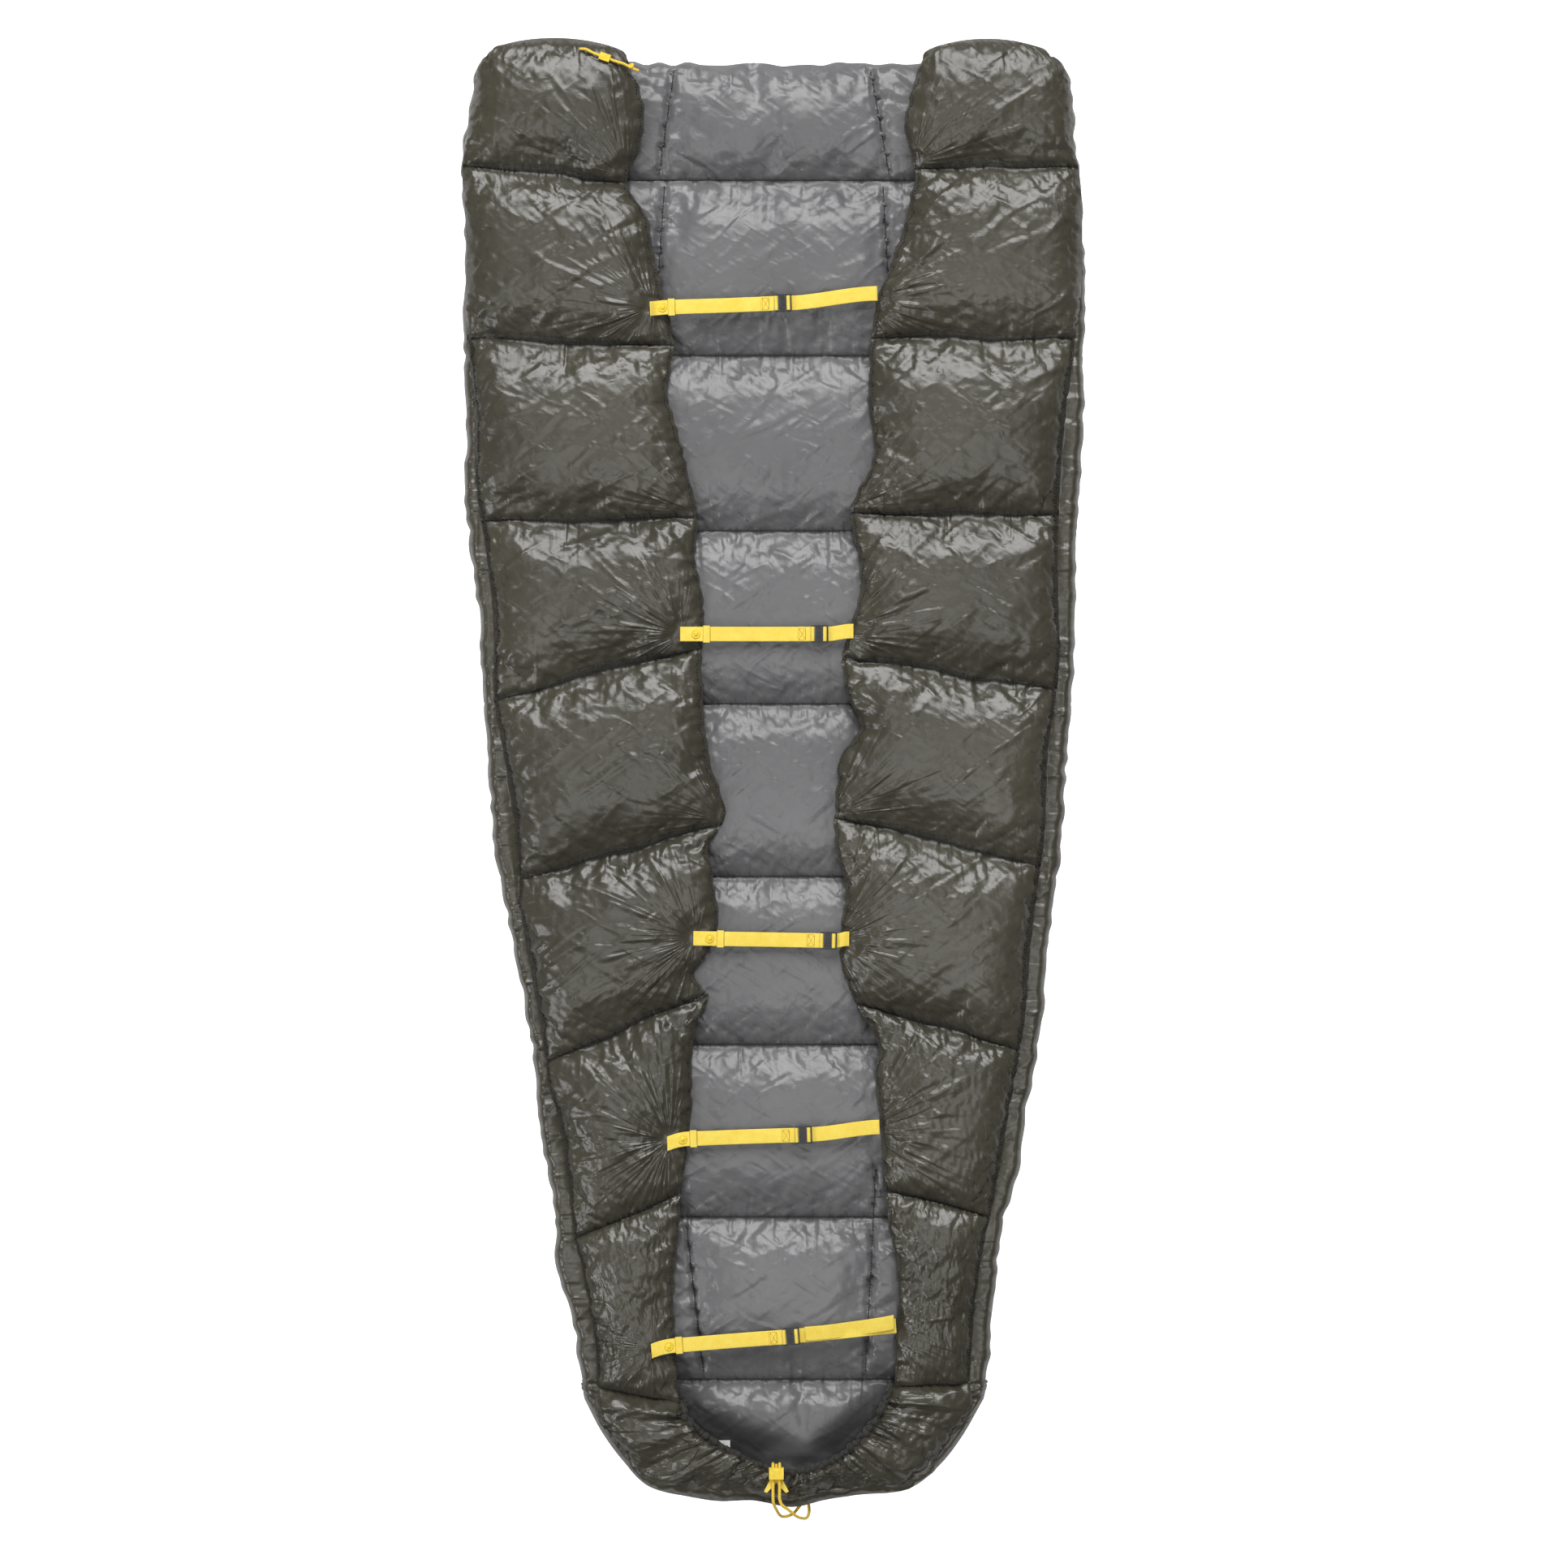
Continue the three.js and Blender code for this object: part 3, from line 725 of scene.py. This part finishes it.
def body_grid(rng):
    """Plan of the body sheets: rows run to the foot, where they fan out to follow the round end."""
    y, _, share, seam_rows = chamber_rows([(y, y) for y in [LINER_HEAD_Y] + LINER_SEAMS], STEP + 0.4)
    t = np.arange(1, FAN_ROWS + 1) / FAN_ROWS
    fan = np.r_[np.zeros(len(y)), t]
    y, share = np.r_[y, y[-1] + (FOOT_Y - y[-1]) * t], np.r_[share, t * 0.75]
    bulge = 3.5 * chamber(share, 2) - 1.5
    left = x_at(OUTLINE["left"], y) - (bulge + 2.0 * wavy(rng, len(y), STEP, 24)) * (1 - fan)
    right = x_at(OUTLINE["right"], y) + (bulge + 2.0 * wavy(rng, len(y), STEP, 24)) * (1 - fan)
    left, right = left[:, None], right[:, None]
    inner_left, inner_right = x_at(LINER_LEFT, y)[:, None], x_at(LINER_RIGHT, y)[:, None]
    roll = np.array([0, 1.5, 4, 8, 13, 19, 26])[None]
    cover = np.linspace(0, 1, 12)[1:-1][None]
    wide = np.linspace(0, 1, LINER_COLUMNS)[None]
    x = np.concatenate([
        left + roll, left + 26 + (inner_left - left - 26) * cover,
        inner_left + (inner_right - inner_left) * wide,
        inner_right + (right - 26 - inner_right) * cover, right - roll[:, ::-1],
    ], 1)
    first = roll.size + cover.size
    span = (x - x[:, :1]) / (x[:, -1:] - x[:, :1])
    end = along(FOOT_OUTLINE, span[-1])
    straight = np.stack([x[-1], np.full(x.shape[1], float(FOOT_Y))], -1)
    flat = np.stack([x, np.broadcast_to(y[:, None], x.shape)], -1)
    flat = flat + fan[:, None, None] * (end - straight)[None]
    ragged = 3.2 * wavy(rng, x.shape[1], 6, 34) - 6 * np.sin(np.linspace(0, 1, x.shape[1]) * math.pi)
    flat[..., 1] += (ragged * np.exp(-(y[0] - y) / 22)[:, None])
    return flat, share, seam_rows, slice(first, first + LINER_COLUMNS)


def side_strips(flat, seam_rows):
    """Width of the strip of shell that shows beside each flap, for every point of that half."""
    rows, columns = flat.shape[:2]
    strip = np.zeros((rows, 2))
    for i, side in enumerate(("left", "right")):
        strip[:, i] = np.abs(x_at(FLAP_OUTER[side], flat[:, 0, 1]) - x_at(OUTLINE[side], flat[:, 0, 1]))
    strip[seam_rows[-1]:] = 20
    return np.where(np.arange(columns)[None] < columns / 2, strip[:, :1], strip[:, 1:])


def liner_sheet(part, d_head, puff, seam_rows, hem_line, rng):
    """The liner, blown up between its seams and then drawn down under the hem, where the label lies on it."""
    c = np.linspace(0, 1, LINER_COLUMNS)[None]
    width = (part[:, -1, 0] - part[:, 0, 0])[:, None]
    border = rounded(np.minimum(c, 1 - c) * width, 90)
    seam_shift = (LEVEL.liner_seam - LEVEL.under_seam) * border
    z = part[..., 2] + seam_shift * rounded(d_head, 30)
    z = z + (LEVEL.liner_crown - LEVEL.under_crown) * puff * border
    part[..., 2] = z + rng.normal(0, 0.7, z.shape) * (puff * border > 0.05)
    pinned = pinned_border(z.shape)
    pinned[seam_rows[1:]] = True
    for ends in LINER_TUCKS:
        near = distance_to(part[..., :2], np.array(ends, float)) < 3.2
        part[..., 2] = np.where(near, LEVEL.liner_seam + 4, part[..., 2])
        pinned |= near
    part = inflate(part, pinned, LEVEL.liner_seam, LINER_PRESSURE, SHRINK)
    part[..., 2] = soft_limit(part[..., 2], LEVEL.liner_seam + 12, 19)
    drawn = np.minimum(part[..., 2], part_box("label")[0][2] / MM - 0.4)
    for line, reach, strength in ((hem_line, 20, 0.75), (hem_line[:19], 42, 1.0), (hem_line[26:], 36, 0.95)):
        share = strength * np.exp(-(distance_to(part[..., :2], line) / reach) ** 4)
        part[..., 2] += (drawn - part[..., 2]) * share
    return part


def body_values(flat, d, seam_rows, hem_line):
    """Gathers, stitch shade and the shade under the flaps' edges and the hem, for both sheets of the body."""
    pucker = np.exp(-seam_distance(len(flat), seam_rows) / 36)[:, None] * np.ones_like(d)
    under_seam = np.zeros(d.shape)
    under_seam[seam_rows[1:]] = 1
    side = np.exp(-np.maximum(d - 6, 0) / 18) * 1.2
    for ends in LINER_TUCKS:
        away = distance_to(flat, np.array(ends, float))
        under_seam = np.maximum(under_seam, 0.25 * (away < 2.5))
        side = np.maximum(side, np.exp(-away / 12))
    under_seam[d < 30] = 0
    seams_and_painted_shade = under_seam
    edges = [
        np.stack([x_at(FLAP_INNER[name], y), y], -1)
        for name, y in (("left", np.linspace(960, -864, 90)), ("right", np.linspace(960, -842, 90)))
    ]
    # Painted shade: the liner's colour is darkened along the flaps' inner edges and in the cavity under the
    # foot hem, where they cast shade.
    for line, reach, strength in (
        (edges[0], 14, 0.3), (edges[1], 14, 0.3), (hem_line, 13, 0.8), (hem_line[:15], 42, 1.0),
        (hem_line[26:], 38, 1.0),
    ):
        seams_and_painted_shade = np.maximum(seams_and_painted_shade, strength * np.exp(-(distance_to(flat, line) / reach) ** 2))
    values = on_both({"pucker": pucker, "side_pucker": side})
    values["seam"] = np.concatenate([seams_and_painted_shade, under_seam])
    return values


def build_body():
    """The underside with its rolled side edge, and the liner."""
    rng = np.random.default_rng(21)
    flat, share, seam_rows, middle = body_grid(rng)
    foot = along(FOOT_OUTLINE, np.linspace(0, 1, 60))
    straight = seam_rows[-1] + 12
    d = distance_to(flat, np.concatenate([flat[:straight, 0], foot, flat[:straight, -1][::-1]]))
    d_head = LINER_HEAD_Y - flat[..., 1]
    puff = chamber(share, 2.2)[:, None]
    # The side strip keeps its height out to the flap's stitch line, where it dips, and ends under the flap.
    strip = side_strips(flat, seam_rows)
    rows = len(flat)
    wrinkle = 0.6 * wavy(rng, rows, STEP, 17)[:, None] + 0.4 * wavy(rng, rows, STEP, 10)[:, None]
    roll = LEVEL.rim + (LEVEL.roll - LEVEL.rim) * np.sin(np.clip(d / ROLL, 0, 1) * math.pi / 2)
    roll = roll + 2.2 * wrinkle * smooth(0, 8, d) - 2.5 * np.exp(-((d - strip) / 5) ** 2) * (strip > 6)
    under = LEVEL.under_seam + (LEVEL.under_crown - LEVEL.under_seam) * puff
    top = roll + (under - roll) * smooth(strip + 4, strip + 18, d)
    top = LEVEL.rim - 4 + (top - LEVEL.rim + 4) * rounded(d_head, 18)
    sheet = with_height(flat, top)
    hem_line = along(LIP_HEM, np.linspace(0, 1, 40))
    part = sheet[:, middle].copy()
    sheet[:, middle] = liner_sheet(part, d_head[:, middle], puff, seam_rows, hem_line, rng)
    floor = LEVEL.rim * (1 - rounded(d, 13))
    floor = floor + 1.2 * (1 - puff) * smooth(10, 30, d)
    base = sheet.copy()
    base[..., 2] = np.minimum(floor, sheet[..., 2] - 1)
    vertices, faces, under_faces = two_sheets(sheet, base)
    rim = (d - strip).ravel()[faces].mean(1) < STRIP_PAST
    values = body_values(flat, d, seam_rows, hem_line)
    shell = make_mesh("body_shell", vertices, np.concatenate([faces[rim], under_faces]), SHELL, values)
    liner = make_mesh("body_liner", vertices, faces[~rim], LINER, values)
    return shell, liner, sheet, seam_rows, middle


def lip_lines():
    """The lip's outer line and hem, [X, Y], their ends moved onto the flaps' sewn foot ends."""
    outer, hem = [list(p) for p in LIP_OUTER], [list(p) for p in LIP_HEM]
    for end, side in ((0, "left"), (-1, "right")):
        outer_y, inner_y = FLAP_SEAMS[side][-1]
        outer[end] = [float(x_at(FLAP_OUTER[side], outer_y)), outer_y + 4]
        hem[end] = [float(x_at(FLAP_INNER[side], inner_y)), inner_y + 4]
    t = np.linspace(0, 1, LIP_ROWS)
    return along(outer, t), along(hem, t)


def build_lip():
    """The cinched foot: a gathered band from the side seams round to the hem."""
    rng = np.random.default_rng(31)

    def waves(wavelength):
        return wavy(rng, LIP_ROWS, LIP_STEP, wavelength)

    t = np.linspace(0, 1, LIP_ROWS)
    outer, hem = lip_lines()
    taper = smooth(0, 0.06, t) * (1 - smooth(0.94, 1, t))
    hem = hem + unit(hem - outer) * (2.4 * waves(9) * taper)[:, None]
    c = np.linspace(0, 1, LIP_COLUMNS)
    flat = between(outer, hem, c)
    width = np.linalg.norm(hem - outer, axis=1)[:, None]
    from_outer, from_hem = c * width, (1 - c) * width
    border = rounded(from_outer, 24) * rounded(from_hem, 22)
    ends = np.minimum(smooth(0, 0.045, t), 1 - smooth(0.955, 1, t))[:, None]
    edge_z = LEVEL.lip_outer * (1 - c) + LEVEL.lip_hem * c
    edge_z = edge_z + (LEVEL.lip_end - edge_z) * (1 - ends)
    edge_z = edge_z + 3.4 * (waves(8) * taper)[:, None] * smooth(0.5, 1, c)
    z = edge_z + (LEVEL.lip_crown - 40) * border * chamber(np.clip(ends, 0, 1) / 2, 2.2)
    folds = waves(16)[:, None] * (1 - smooth(0, 62, from_hem)) * smooth(0, 6, from_hem)
    z = z + 3.2 * folds * ends + rng.normal(0, 0.5, z.shape) * border * ends
    points = with_height(flat, z)
    points = inflate(points, pinned_border(z.shape), LEVEL.lip_outer, LIP_PRESSURE, LIP_SHRINK)
    gather = waves(13)[:, None] + 0.6 * waves(7)[:, None]
    reach = 18 + 26 * (0.5 + 0.5 * waves(30))[:, None]
    points[..., 2] += 6.2 * gather * np.exp(-from_hem / (reach + 8)) * smooth(0, 5, from_hem) * ends
    wide = waves(30)[:, None] * smooth(0, 16, from_outer) * smooth(0, 5, from_hem)
    points[..., 2] += 4.5 * wide * ends
    points[..., 2] = soft_limit(points[..., 2], 50, 20)
    back = points.copy()
    back[..., 2] = np.minimum(points[..., 2] - 1, 33 + (points[..., 2] - 40) * smooth(40, 0, from_hem))
    # Painted shade: darker colour in the gathers' valleys near the hem and right along the hem, where shade
    # falls.
    painted_valley_shade = 0.6 * np.clip(-gather, 0, 1) * np.exp(-from_hem / 26) * ends + 0.5 * np.exp(-from_hem / 4)
    values = on_both({
        "fold": np.stack(np.broadcast_arrays(lengths(hem)[:, None] / 11, from_hem / 70, 3.7), -1),
        "fold_weight": 2.2 * np.exp(-from_hem / 70) * ends,
        "seam": painted_valley_shade,
    })
    vertices, faces, back_faces = two_sheets(points, back)
    shell = make_mesh("foot_lip_shell", vertices, faces, SHELL, values)
    liner = make_mesh("foot_lip_liner", vertices, back_faces, LINER)
    return shell, liner, points


# ---- sewing ----

def stitches(name, paths, material, length=3.0, gap=1.6, radius=0.75):
    """Short raised stitches along each path of [X, Y, Z] points."""
    vertices, faces = [], []
    box = [(0, 3, 2, 1), (4, 5, 6, 7), (0, 1, 5, 4), (1, 2, 6, 5), (2, 3, 7, 6), (3, 0, 4, 7)]
    for path in paths:
        knots = lengths(path)
        s = 0.0
        while s + length < knots[-1]:
            a, b = (np.array([np.interp(q, knots, path[:, i]) for i in range(3)]) for q in (s, s + length))
            d = (b - a) / max(np.linalg.norm(b - a), 1e-6)
            w = np.cross(d, (0, 0, 1))
            w /= max(np.linalg.norm(w), 1e-6)
            up = np.cross(w, d)
            start = len(vertices)
            for end in (a, b):
                for i, j in ((-1, -0.4), (1, -0.4), (0.7, 1), (-0.7, 1)):
                    vertices.append(end + radius * (i * w + j * up))
            faces.extend([tuple(start + i for i in side) for side in box])
            s += length + gap
    return make_mesh(name, np.array(vertices), faces, material)


def on_surface(points, path, lift):
    """A plan path laid on a grid of points, at the height of the nearest ones."""
    path = np.asarray(path, float)
    flat = points.reshape(-1, 3)
    z = []
    for p in path:
        d = np.hypot(flat[:, 0] - p[0], flat[:, 1] - p[1])
        near = np.argpartition(d, 4)[:4]
        weight = 1 / (d[near] + 0.3)
        z.append((flat[near, 2] * weight).sum() / weight.sum() + lift)
    return np.column_stack([path, z])


def sweep(name, rings, material, flip=False):
    """A solid through rings of points, capped at both ends; flip turns its faces over."""
    count, n = rings.shape[:2]
    faces = []
    for i in range(count - 1):
        for j in range(n):
            k = (j + 1) % n
            faces.append((i * n + j, i * n + k, (i + 1) * n + k, (i + 1) * n + j))
    faces.append(tuple(range(n))[::-1])
    faces.append(tuple((count - 1) * n + j for j in range(n)))
    if flip:
        faces = [(face[0], *face[:0:-1]) for face in faces]
    return make_mesh(name, rings.reshape(-1, 3), faces, material)


def tube(name, path, radius, sides, material):
    """A round tube along a path; radius is one number or one per point."""
    path = np.asarray(path, float)
    tangent = unit(np.gradient(path, axis=0))
    across = unit(np.cross(tangent, (0, 0, 1.0)))
    normal = np.cross(across, tangent)
    angle = np.arange(sides) / sides * 2 * math.pi
    ring = np.cos(angle)[None, :, None] * across[:, None] + np.sin(angle)[None, :, None] * normal[:, None]
    radius = np.broadcast_to(radius, len(path))
    return sweep(name, path[:, None] + ring * radius[:, None, None], material)


def band(name, centre, across, thick):
    """Flat webbing along a path of centre points, with softened edges."""
    centre = np.asarray(centre, float)
    tangent = unit(np.gradient(centre, axis=0))
    across = np.broadcast_to(across, centre.shape)
    normal = unit(np.cross(tangent, across))
    w, h = STRAP_WIDTH / 2, thick / 2
    under = [
        (-w, 0), (-w + 0.3, -h * 0.8), (-w + 1.2, -h), (-w / 3, -h), (w / 3, -h), (w - 1.2, -h),
        (w - 0.3, -h * 0.8),
    ]
    section = under + [(-a, -b) for a, b in under]
    rings = np.stack([centre + a * across + b * normal for a, b in section], 1)
    return sweep(name, rings, WEBBING, flip=True)


# ---- build the quilt ----

def hinge(piece):
    """Bakes a piece's transform into its mesh."""
    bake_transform(piece)


body_shell, body_liner, body_points, body_seams, body_middle = build_body()
settle(body_shell, "root", "shell_body", "insulation_body")
settle(body_liner, "root", "liner_body")

lip_shell, lip_liner, lip_points = build_lip()
settle(lip_shell, "root")
settle(lip_liner, "root")

for side in ("left", "right"):
    shell, liner, points, seam_rows = build_flap(side)
    settle(shell, None, f"shell_{side}_flap", f"insulation_{side}_flap")
    settle(liner, None, f"liner_{side}_flap")
    inner_edge, outer_edge = (-2, 1) if side == "left" else (1, -2)
    lines = [points[row] + (0, 0, THREAD_LIFT) for row in seam_rows[1:-1]]
    lines += [points[8:, inner_edge] + (0, 0, 0.6), points[seam_rows[2]:, outer_edge] + (0, 0, 0.6)]
    sewn = stitches(f"flap_{side}_stitches", lines, THREAD)
    settle(sewn, None)
    for piece in (shell, liner, sewn):
        hinge(piece)

seam_lines = [body_points[row, body_middle] + (0, 0, THREAD_LIFT) for row in body_seams[1:]]
share = np.linspace(0, 1, 40)[:, None]
for a, b in np.array(LINER_TUCKS, float):
    seam_lines.append(on_surface(body_points[:, body_middle], a * (1 - share) + b * share, 0.8))
settle(stitches("liner_stitches", seam_lines, THREAD), "root")
foot_lines = [on_surface(lip_points, along(path, np.linspace(0, 1, 60)), 0.6) for path in FOOT_STITCHES]
settle(stitches("foot_stitches", foot_lines, THREAD), "root")

# ---- foot hem: a ruffled tape round the drawcord ----

HEM_POINTS = 420

rng = np.random.default_rng(41)
inward = unit(lip_points[:, -1, :2] - lip_points[:, -4, :2])
hem_path = lip_points[:, -1] + np.pad(3.0 * inward, ((0, 0), (0, 1)))
hem_path = along(hem_path, np.linspace(0, 1, HEM_POINTS))
ruffle = wavy(rng, HEM_POINTS, 1.2, 6)
hem_path[:, 2] += 1.2 * ruffle + 0.6
settle(tube("foot_hem_gathers", hem_path, 4.1 + 1.5 * ruffle, 12, HEM), "root", "foot_hem")

# ---- straps ----

# How far each strap's snap end and right half drift along its width, and how far its snap end curls up.
SWAY = {1: (-2, 9), 2: (0, 4), 3: (0, 3), 4: (-6, 7), 5: (-5, 3)}
CURL = {1: 8, 2: 1.5, 3: 0.5, 4: 1, 5: 3}
# Section of a snap's cap from its middle out, (radius, height).
CAP = [(2.6, 2.4), (3.6, 1.2), (4.3, 0.8), (5.0, 1.7), (5.7, 1.5), (6.1, 0.8), (6.1, 0.2)]
CAP_TOP = 2.6
CAP_SIDES = 32


def turn(strap, centre, mid, start, end, radius, height):
    """Webbing's way round a bar, between two angles in degrees."""
    angles = np.radians(np.linspace(start, end, 16))
    return [strap.point(centre + radius * math.cos(a), 0, mid + height * math.sin(a)) for a in angles]


def snap_cap(name, centre):
    """A domed cap with a ring pressed into it."""
    n = CAP_SIDES
    angles = [2 * math.pi * j / n for j in range(n)]
    vertices = [(0, 0, CAP_TOP)] + [(r * math.cos(a), r * math.sin(a), z) for r, z in CAP for a in angles]
    faces = [(0, 1 + j, 1 + (j + 1) % n) for j in range(n)]
    for p in range(1, (len(CAP) - 1) * n, n):
        for j in range(n):
            k = (j + 1) % n
            faces.append((p + j, p + n + j, p + n + k, p + k))
    faces.append(tuple(range(len(vertices) - n, len(vertices)))[::-1])
    return make_mesh(name, centre + (0, 0, 0.6) + np.array(vertices), faces, YELLOW)


def snap_end(strap, z, thick):
    """The webbing left of the keeper, and the cap of its snap."""
    name = strap.name
    tab0, tab1, _, _ = strap.extent("snap_tab")
    droop, curl = SWAY[strap.number][0], CURL[strap.number]
    s = np.linspace(tab1, tab0, 30)
    share = (s - tab1) / (tab0 - tab1)
    path = np.array([
        strap.point(a, droop * b**2, z + curl * max(0, b - 0.45) ** 2 / 0.3) for a, b in zip(s, share)
    ])
    settle(band(name("tab_webbing"), path, strap.across, thick), name("tab"), name("snap_tab"))
    cap_s = ((node_points(name("snap_cap")) - strap.origin) @ strap.side).mean()
    at = np.interp(-cap_s, -s, np.arange(30))
    settle(snap_cap(name("snap_button"), path[int(round(at))]), name("tab"), name("snap_cap"))


def left_half(strap, z, thick, mid):
    """The webbing from the keeper round the clip's bar, folded back and sewn down."""
    name = strap.name
    web0, web1, _, _ = strap.extent("webbing")
    bar = web1 - 2.8
    run = np.linspace(web0, bar - 3, 40)
    sag = -3.0 * np.sin(np.clip((run - web0) / (bar - web0), 0, 1) * math.pi) ** 2
    path = [strap.point(a, 0, z + b) for a, b in zip(run, sag)]
    path += turn(strap, bar, mid, -70, 180, 2.1, 3.0)
    for a in np.linspace(bar - 4.5, bar - 21, 14):
        path.append(strap.point(a, 0, z + 1.35 + 1.6 * max(0, (a - bar + 9) / 5)))
    settle(band(name("left_webbing"), path, strap.across, thick), name("left"), name("webbing"))
    near, far = bar - 10, bar - 19
    corners = [(far, -8), (near, -8), (near, 8), (far, 8), (far, -8), (near, 8), (near, -8), (far, 8)]
    box = np.array([strap.point(a, b, z + 2.1) for a, b in corners])
    settle(stitches(name("box_stitch"), [box], WEBBING_THREAD, 1.8, 0.9, 0.35), name("left"))


def right_half(strap, z, thick, mid):
    """The webbing from its sewn end round the adjuster's bar, and the foot strap's loose end."""
    name = strap.name
    tail0, tail1, _, _ = strap.extent("tail")
    bar = (tail0 + tail0 + 2.6 + 3.0) / 2
    near = bar + 2.2
    run = np.linspace(tail1 + 3, near + 1.5, 44)
    share = 1 - (run - near) / (tail1 - near)
    sway = SWAY[strap.number][1] * (1 - smooth(0, 1, share))
    wave = 1.4 * np.sin(share * math.pi * 1.4)
    path = [strap.point(a, b, z + c) for a, b, c in zip(run, sway, wave)]
    path += turn(strap, bar, mid, -20, 200, 2.2, 2.6)
    path.append(strap.point(bar - 2.0, 0, z + 0.6))
    settle(band(name("right_webbing"), path, strap.across, thick), name("right"), name("tail"))
    if strap.number == FOOT_STRAP:
        run = np.linspace(bar + 12, tail1 + 1, 44)
        share = (run - bar - 12) / (tail1 - bar - 11)
        path = [
            strap.point(a, 2 + 7 * c**2, z + 2.6 + 2.2 * math.sin(c * 9) + 2 * c) for a, c in zip(run, share)
        ]
        settle(band(name("loose_end"), path, strap.across + (0, 0, 0.12), thick), name("right"))


def dress(name, material, bevel):
    """Gives a CAD node its finish and softened edges."""
    node = frame["nodes"][name]
    node.data.materials.clear()
    node.data.materials.append(material)
    modifier = node.modifiers.new("soft_edges", "BEVEL")
    modifier.width = bevel * MM
    modifier.segments = 3
    modifier.limit_method = "ANGLE"


for strap in STRAPS:
    _, _, tab_low, tab_high = strap.extent("snap_tab")
    _, _, clip_low, clip_high = strap.extent("clip")
    level, thick, middle = (tab_low + tab_high) / 2, tab_high - tab_low, (clip_low + clip_high) / 2
    snap_end(strap, level, thick)
    left_half(strap, level, thick, middle)
    right_half(strap, level, thick, middle)
    for part, material in (("clip", BLACK), ("adjuster", BLACK), ("keeper", WEBBING), ("snap_stud", YELLOW)):
        dress(strap.name(part), material, 0.35 if part == "keeper" else 0.5)

# ---- cords ----

dress("foot_cord_lock", YELLOW, 1.2)
dress("foot_cord_lock_button", YELLOW, 0.3)
dress("foot_cord_pull", WEBBING, 0.3)
dress("head_cord_toggle", YELLOW, 1.6)
dress("label", LABEL, 0.1)


def cord(name, guide, offsets, count, radius, body, node):
    """A cord through points given from the middle of the CAD node it runs through."""
    low, high = (np.array(corner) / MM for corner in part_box(guide))
    path = along([(low + high) / 2 + np.array(p) for p in offsets], np.linspace(0, 1, count))
    settle(tube(name, path, radius, 10, CORD), body, node)


loops = [
    (-4.5, 3, -13), (-4.5, 10, -12), (-4.5, 12.5, -6), (-4.5, 9, 0), (-4.5, 0, 0), (-4.5, -14, 0),
    (-4.5, -28, 0), (-4.3, -38, 0), (0, -51, -12), (11, -64, -38), (21.8, -62, -48), (35, -48, -56),
    (38, -45, -58), (41.5, -45.5, -58), (45, -55, -52), (42, -65, -38), (31, -63, -22), (17, -51, -7),
    (7, -42, -0.5), (4.5, -35, 0), (4.5, -28, 0), (4.5, -14, 0), (4.5, 0, 0), (4.5, 9, 0), (4.5, 12.5, -6),
    (4.5, 10, -12), (4.5, 3, -13),
]
cord("foot_cord", "foot_cord_lock", loops, 340, 2.1, "root", "foot_drawcord")
out = [
    (-34, 12, -6), (-26, 11, -1), (-16, 6, 0), (0, 0, 0), (16, -6, 0), (26, -9, 0), (33, -12, 0),
    (38, -10, 1), (37, -14, 3), (33, -13, 2), (40, -16, 0), (46, -18, -3),
]
cord("head_cord", "head_cord_toggle", out, 160, 1.9, "flap_left", "head_drawcord")

# ---- floor, light, camera ----

FLOOR_REACH, FLOOR_Z = 60.0, -0.0005
floor_mesh = bpy.data.meshes.new("floor")
corners = [(x * FLOOR_REACH, y * FLOOR_REACH, FLOOR_Z) for x, y in ((-1, -1), (1, -1), (1, 1), (-1, 1))]
floor_mesh.from_pydata(corners, [], [(0, 1, 2, 3)])
floor = add_object("floor", floor_mesh)
paper = Shader("floor_paper")
seen = paper.node("LightPath", "Is Camera Ray")
paper.set(Base_Color=(0.9, 0.9, 0.9, 1), Roughness=0.9, Emission_Color=(1, 1, 1, 1))
paper.set(Emission_Strength=paper.math("MULTIPLY", seen, 0.9))
floor_mesh.materials.append(paper.material)

world = bpy.data.worlds.new("studio")
SCENE.world = world
world.use_nodes = True
sky = world.node_tree
ambient, backdrop = sky.nodes["Background"], sky.nodes.new("ShaderNodeBackground")
for background, white, strength in ((ambient, 1, 0.12), (backdrop, 0.97, 1)):
    background.inputs["Color"].default_value = (white, white, white, 1)
    background.inputs["Strength"].default_value = strength
choose = sky.nodes.new("ShaderNodeMixShader")
for source, target in (
    (sky.nodes.new("ShaderNodeLightPath").outputs["Is Camera Ray"], choose.inputs["Fac"]),
    (ambient.outputs[0], choose.inputs[1]), (backdrop.outputs[0], choose.inputs[2]),
    (choose.outputs[0], sky.nodes["World Output"].inputs["Surface"]),
):
    sky.links.new(source, target)


def softbox(name, place, size, power):
    light = bpy.data.lights.new(name, "AREA")
    light.size = size
    light.energy = power
    lamp = add_object(name, light)
    lamp.location = place
    lamp.rotation_euler = (Vector((0, 0, 0)) - Vector(place)).to_track_quat("-Z", "Y").to_euler()


softbox("key", (0.4, 5.6, 5.8), 4.8, 640)
softbox("overhead", (0.1, -0.9, 6.0), 3.0, 68)
softbox("fill", (-3.6, -2.2, 3.6), 2.0, 85)

camera = bpy.data.cameras.new("camera")
SENSOR = 36
VIEW_HEIGHT, VIEW_WIDTH = 8.0, 2.146  # metres above the ground, and across the picture at the quilt's top
QUILT_TOP = 0.05
camera.sensor_width = SENSOR
camera.lens = SENSOR * (VIEW_HEIGHT - QUILT_TOP) / VIEW_WIDTH
viewer = add_object("camera", camera)
viewer.location = (0.012, -0.015, VIEW_HEIGHT)
SCENE.camera = viewer
SCENE.view_settings.view_transform = "Standard"
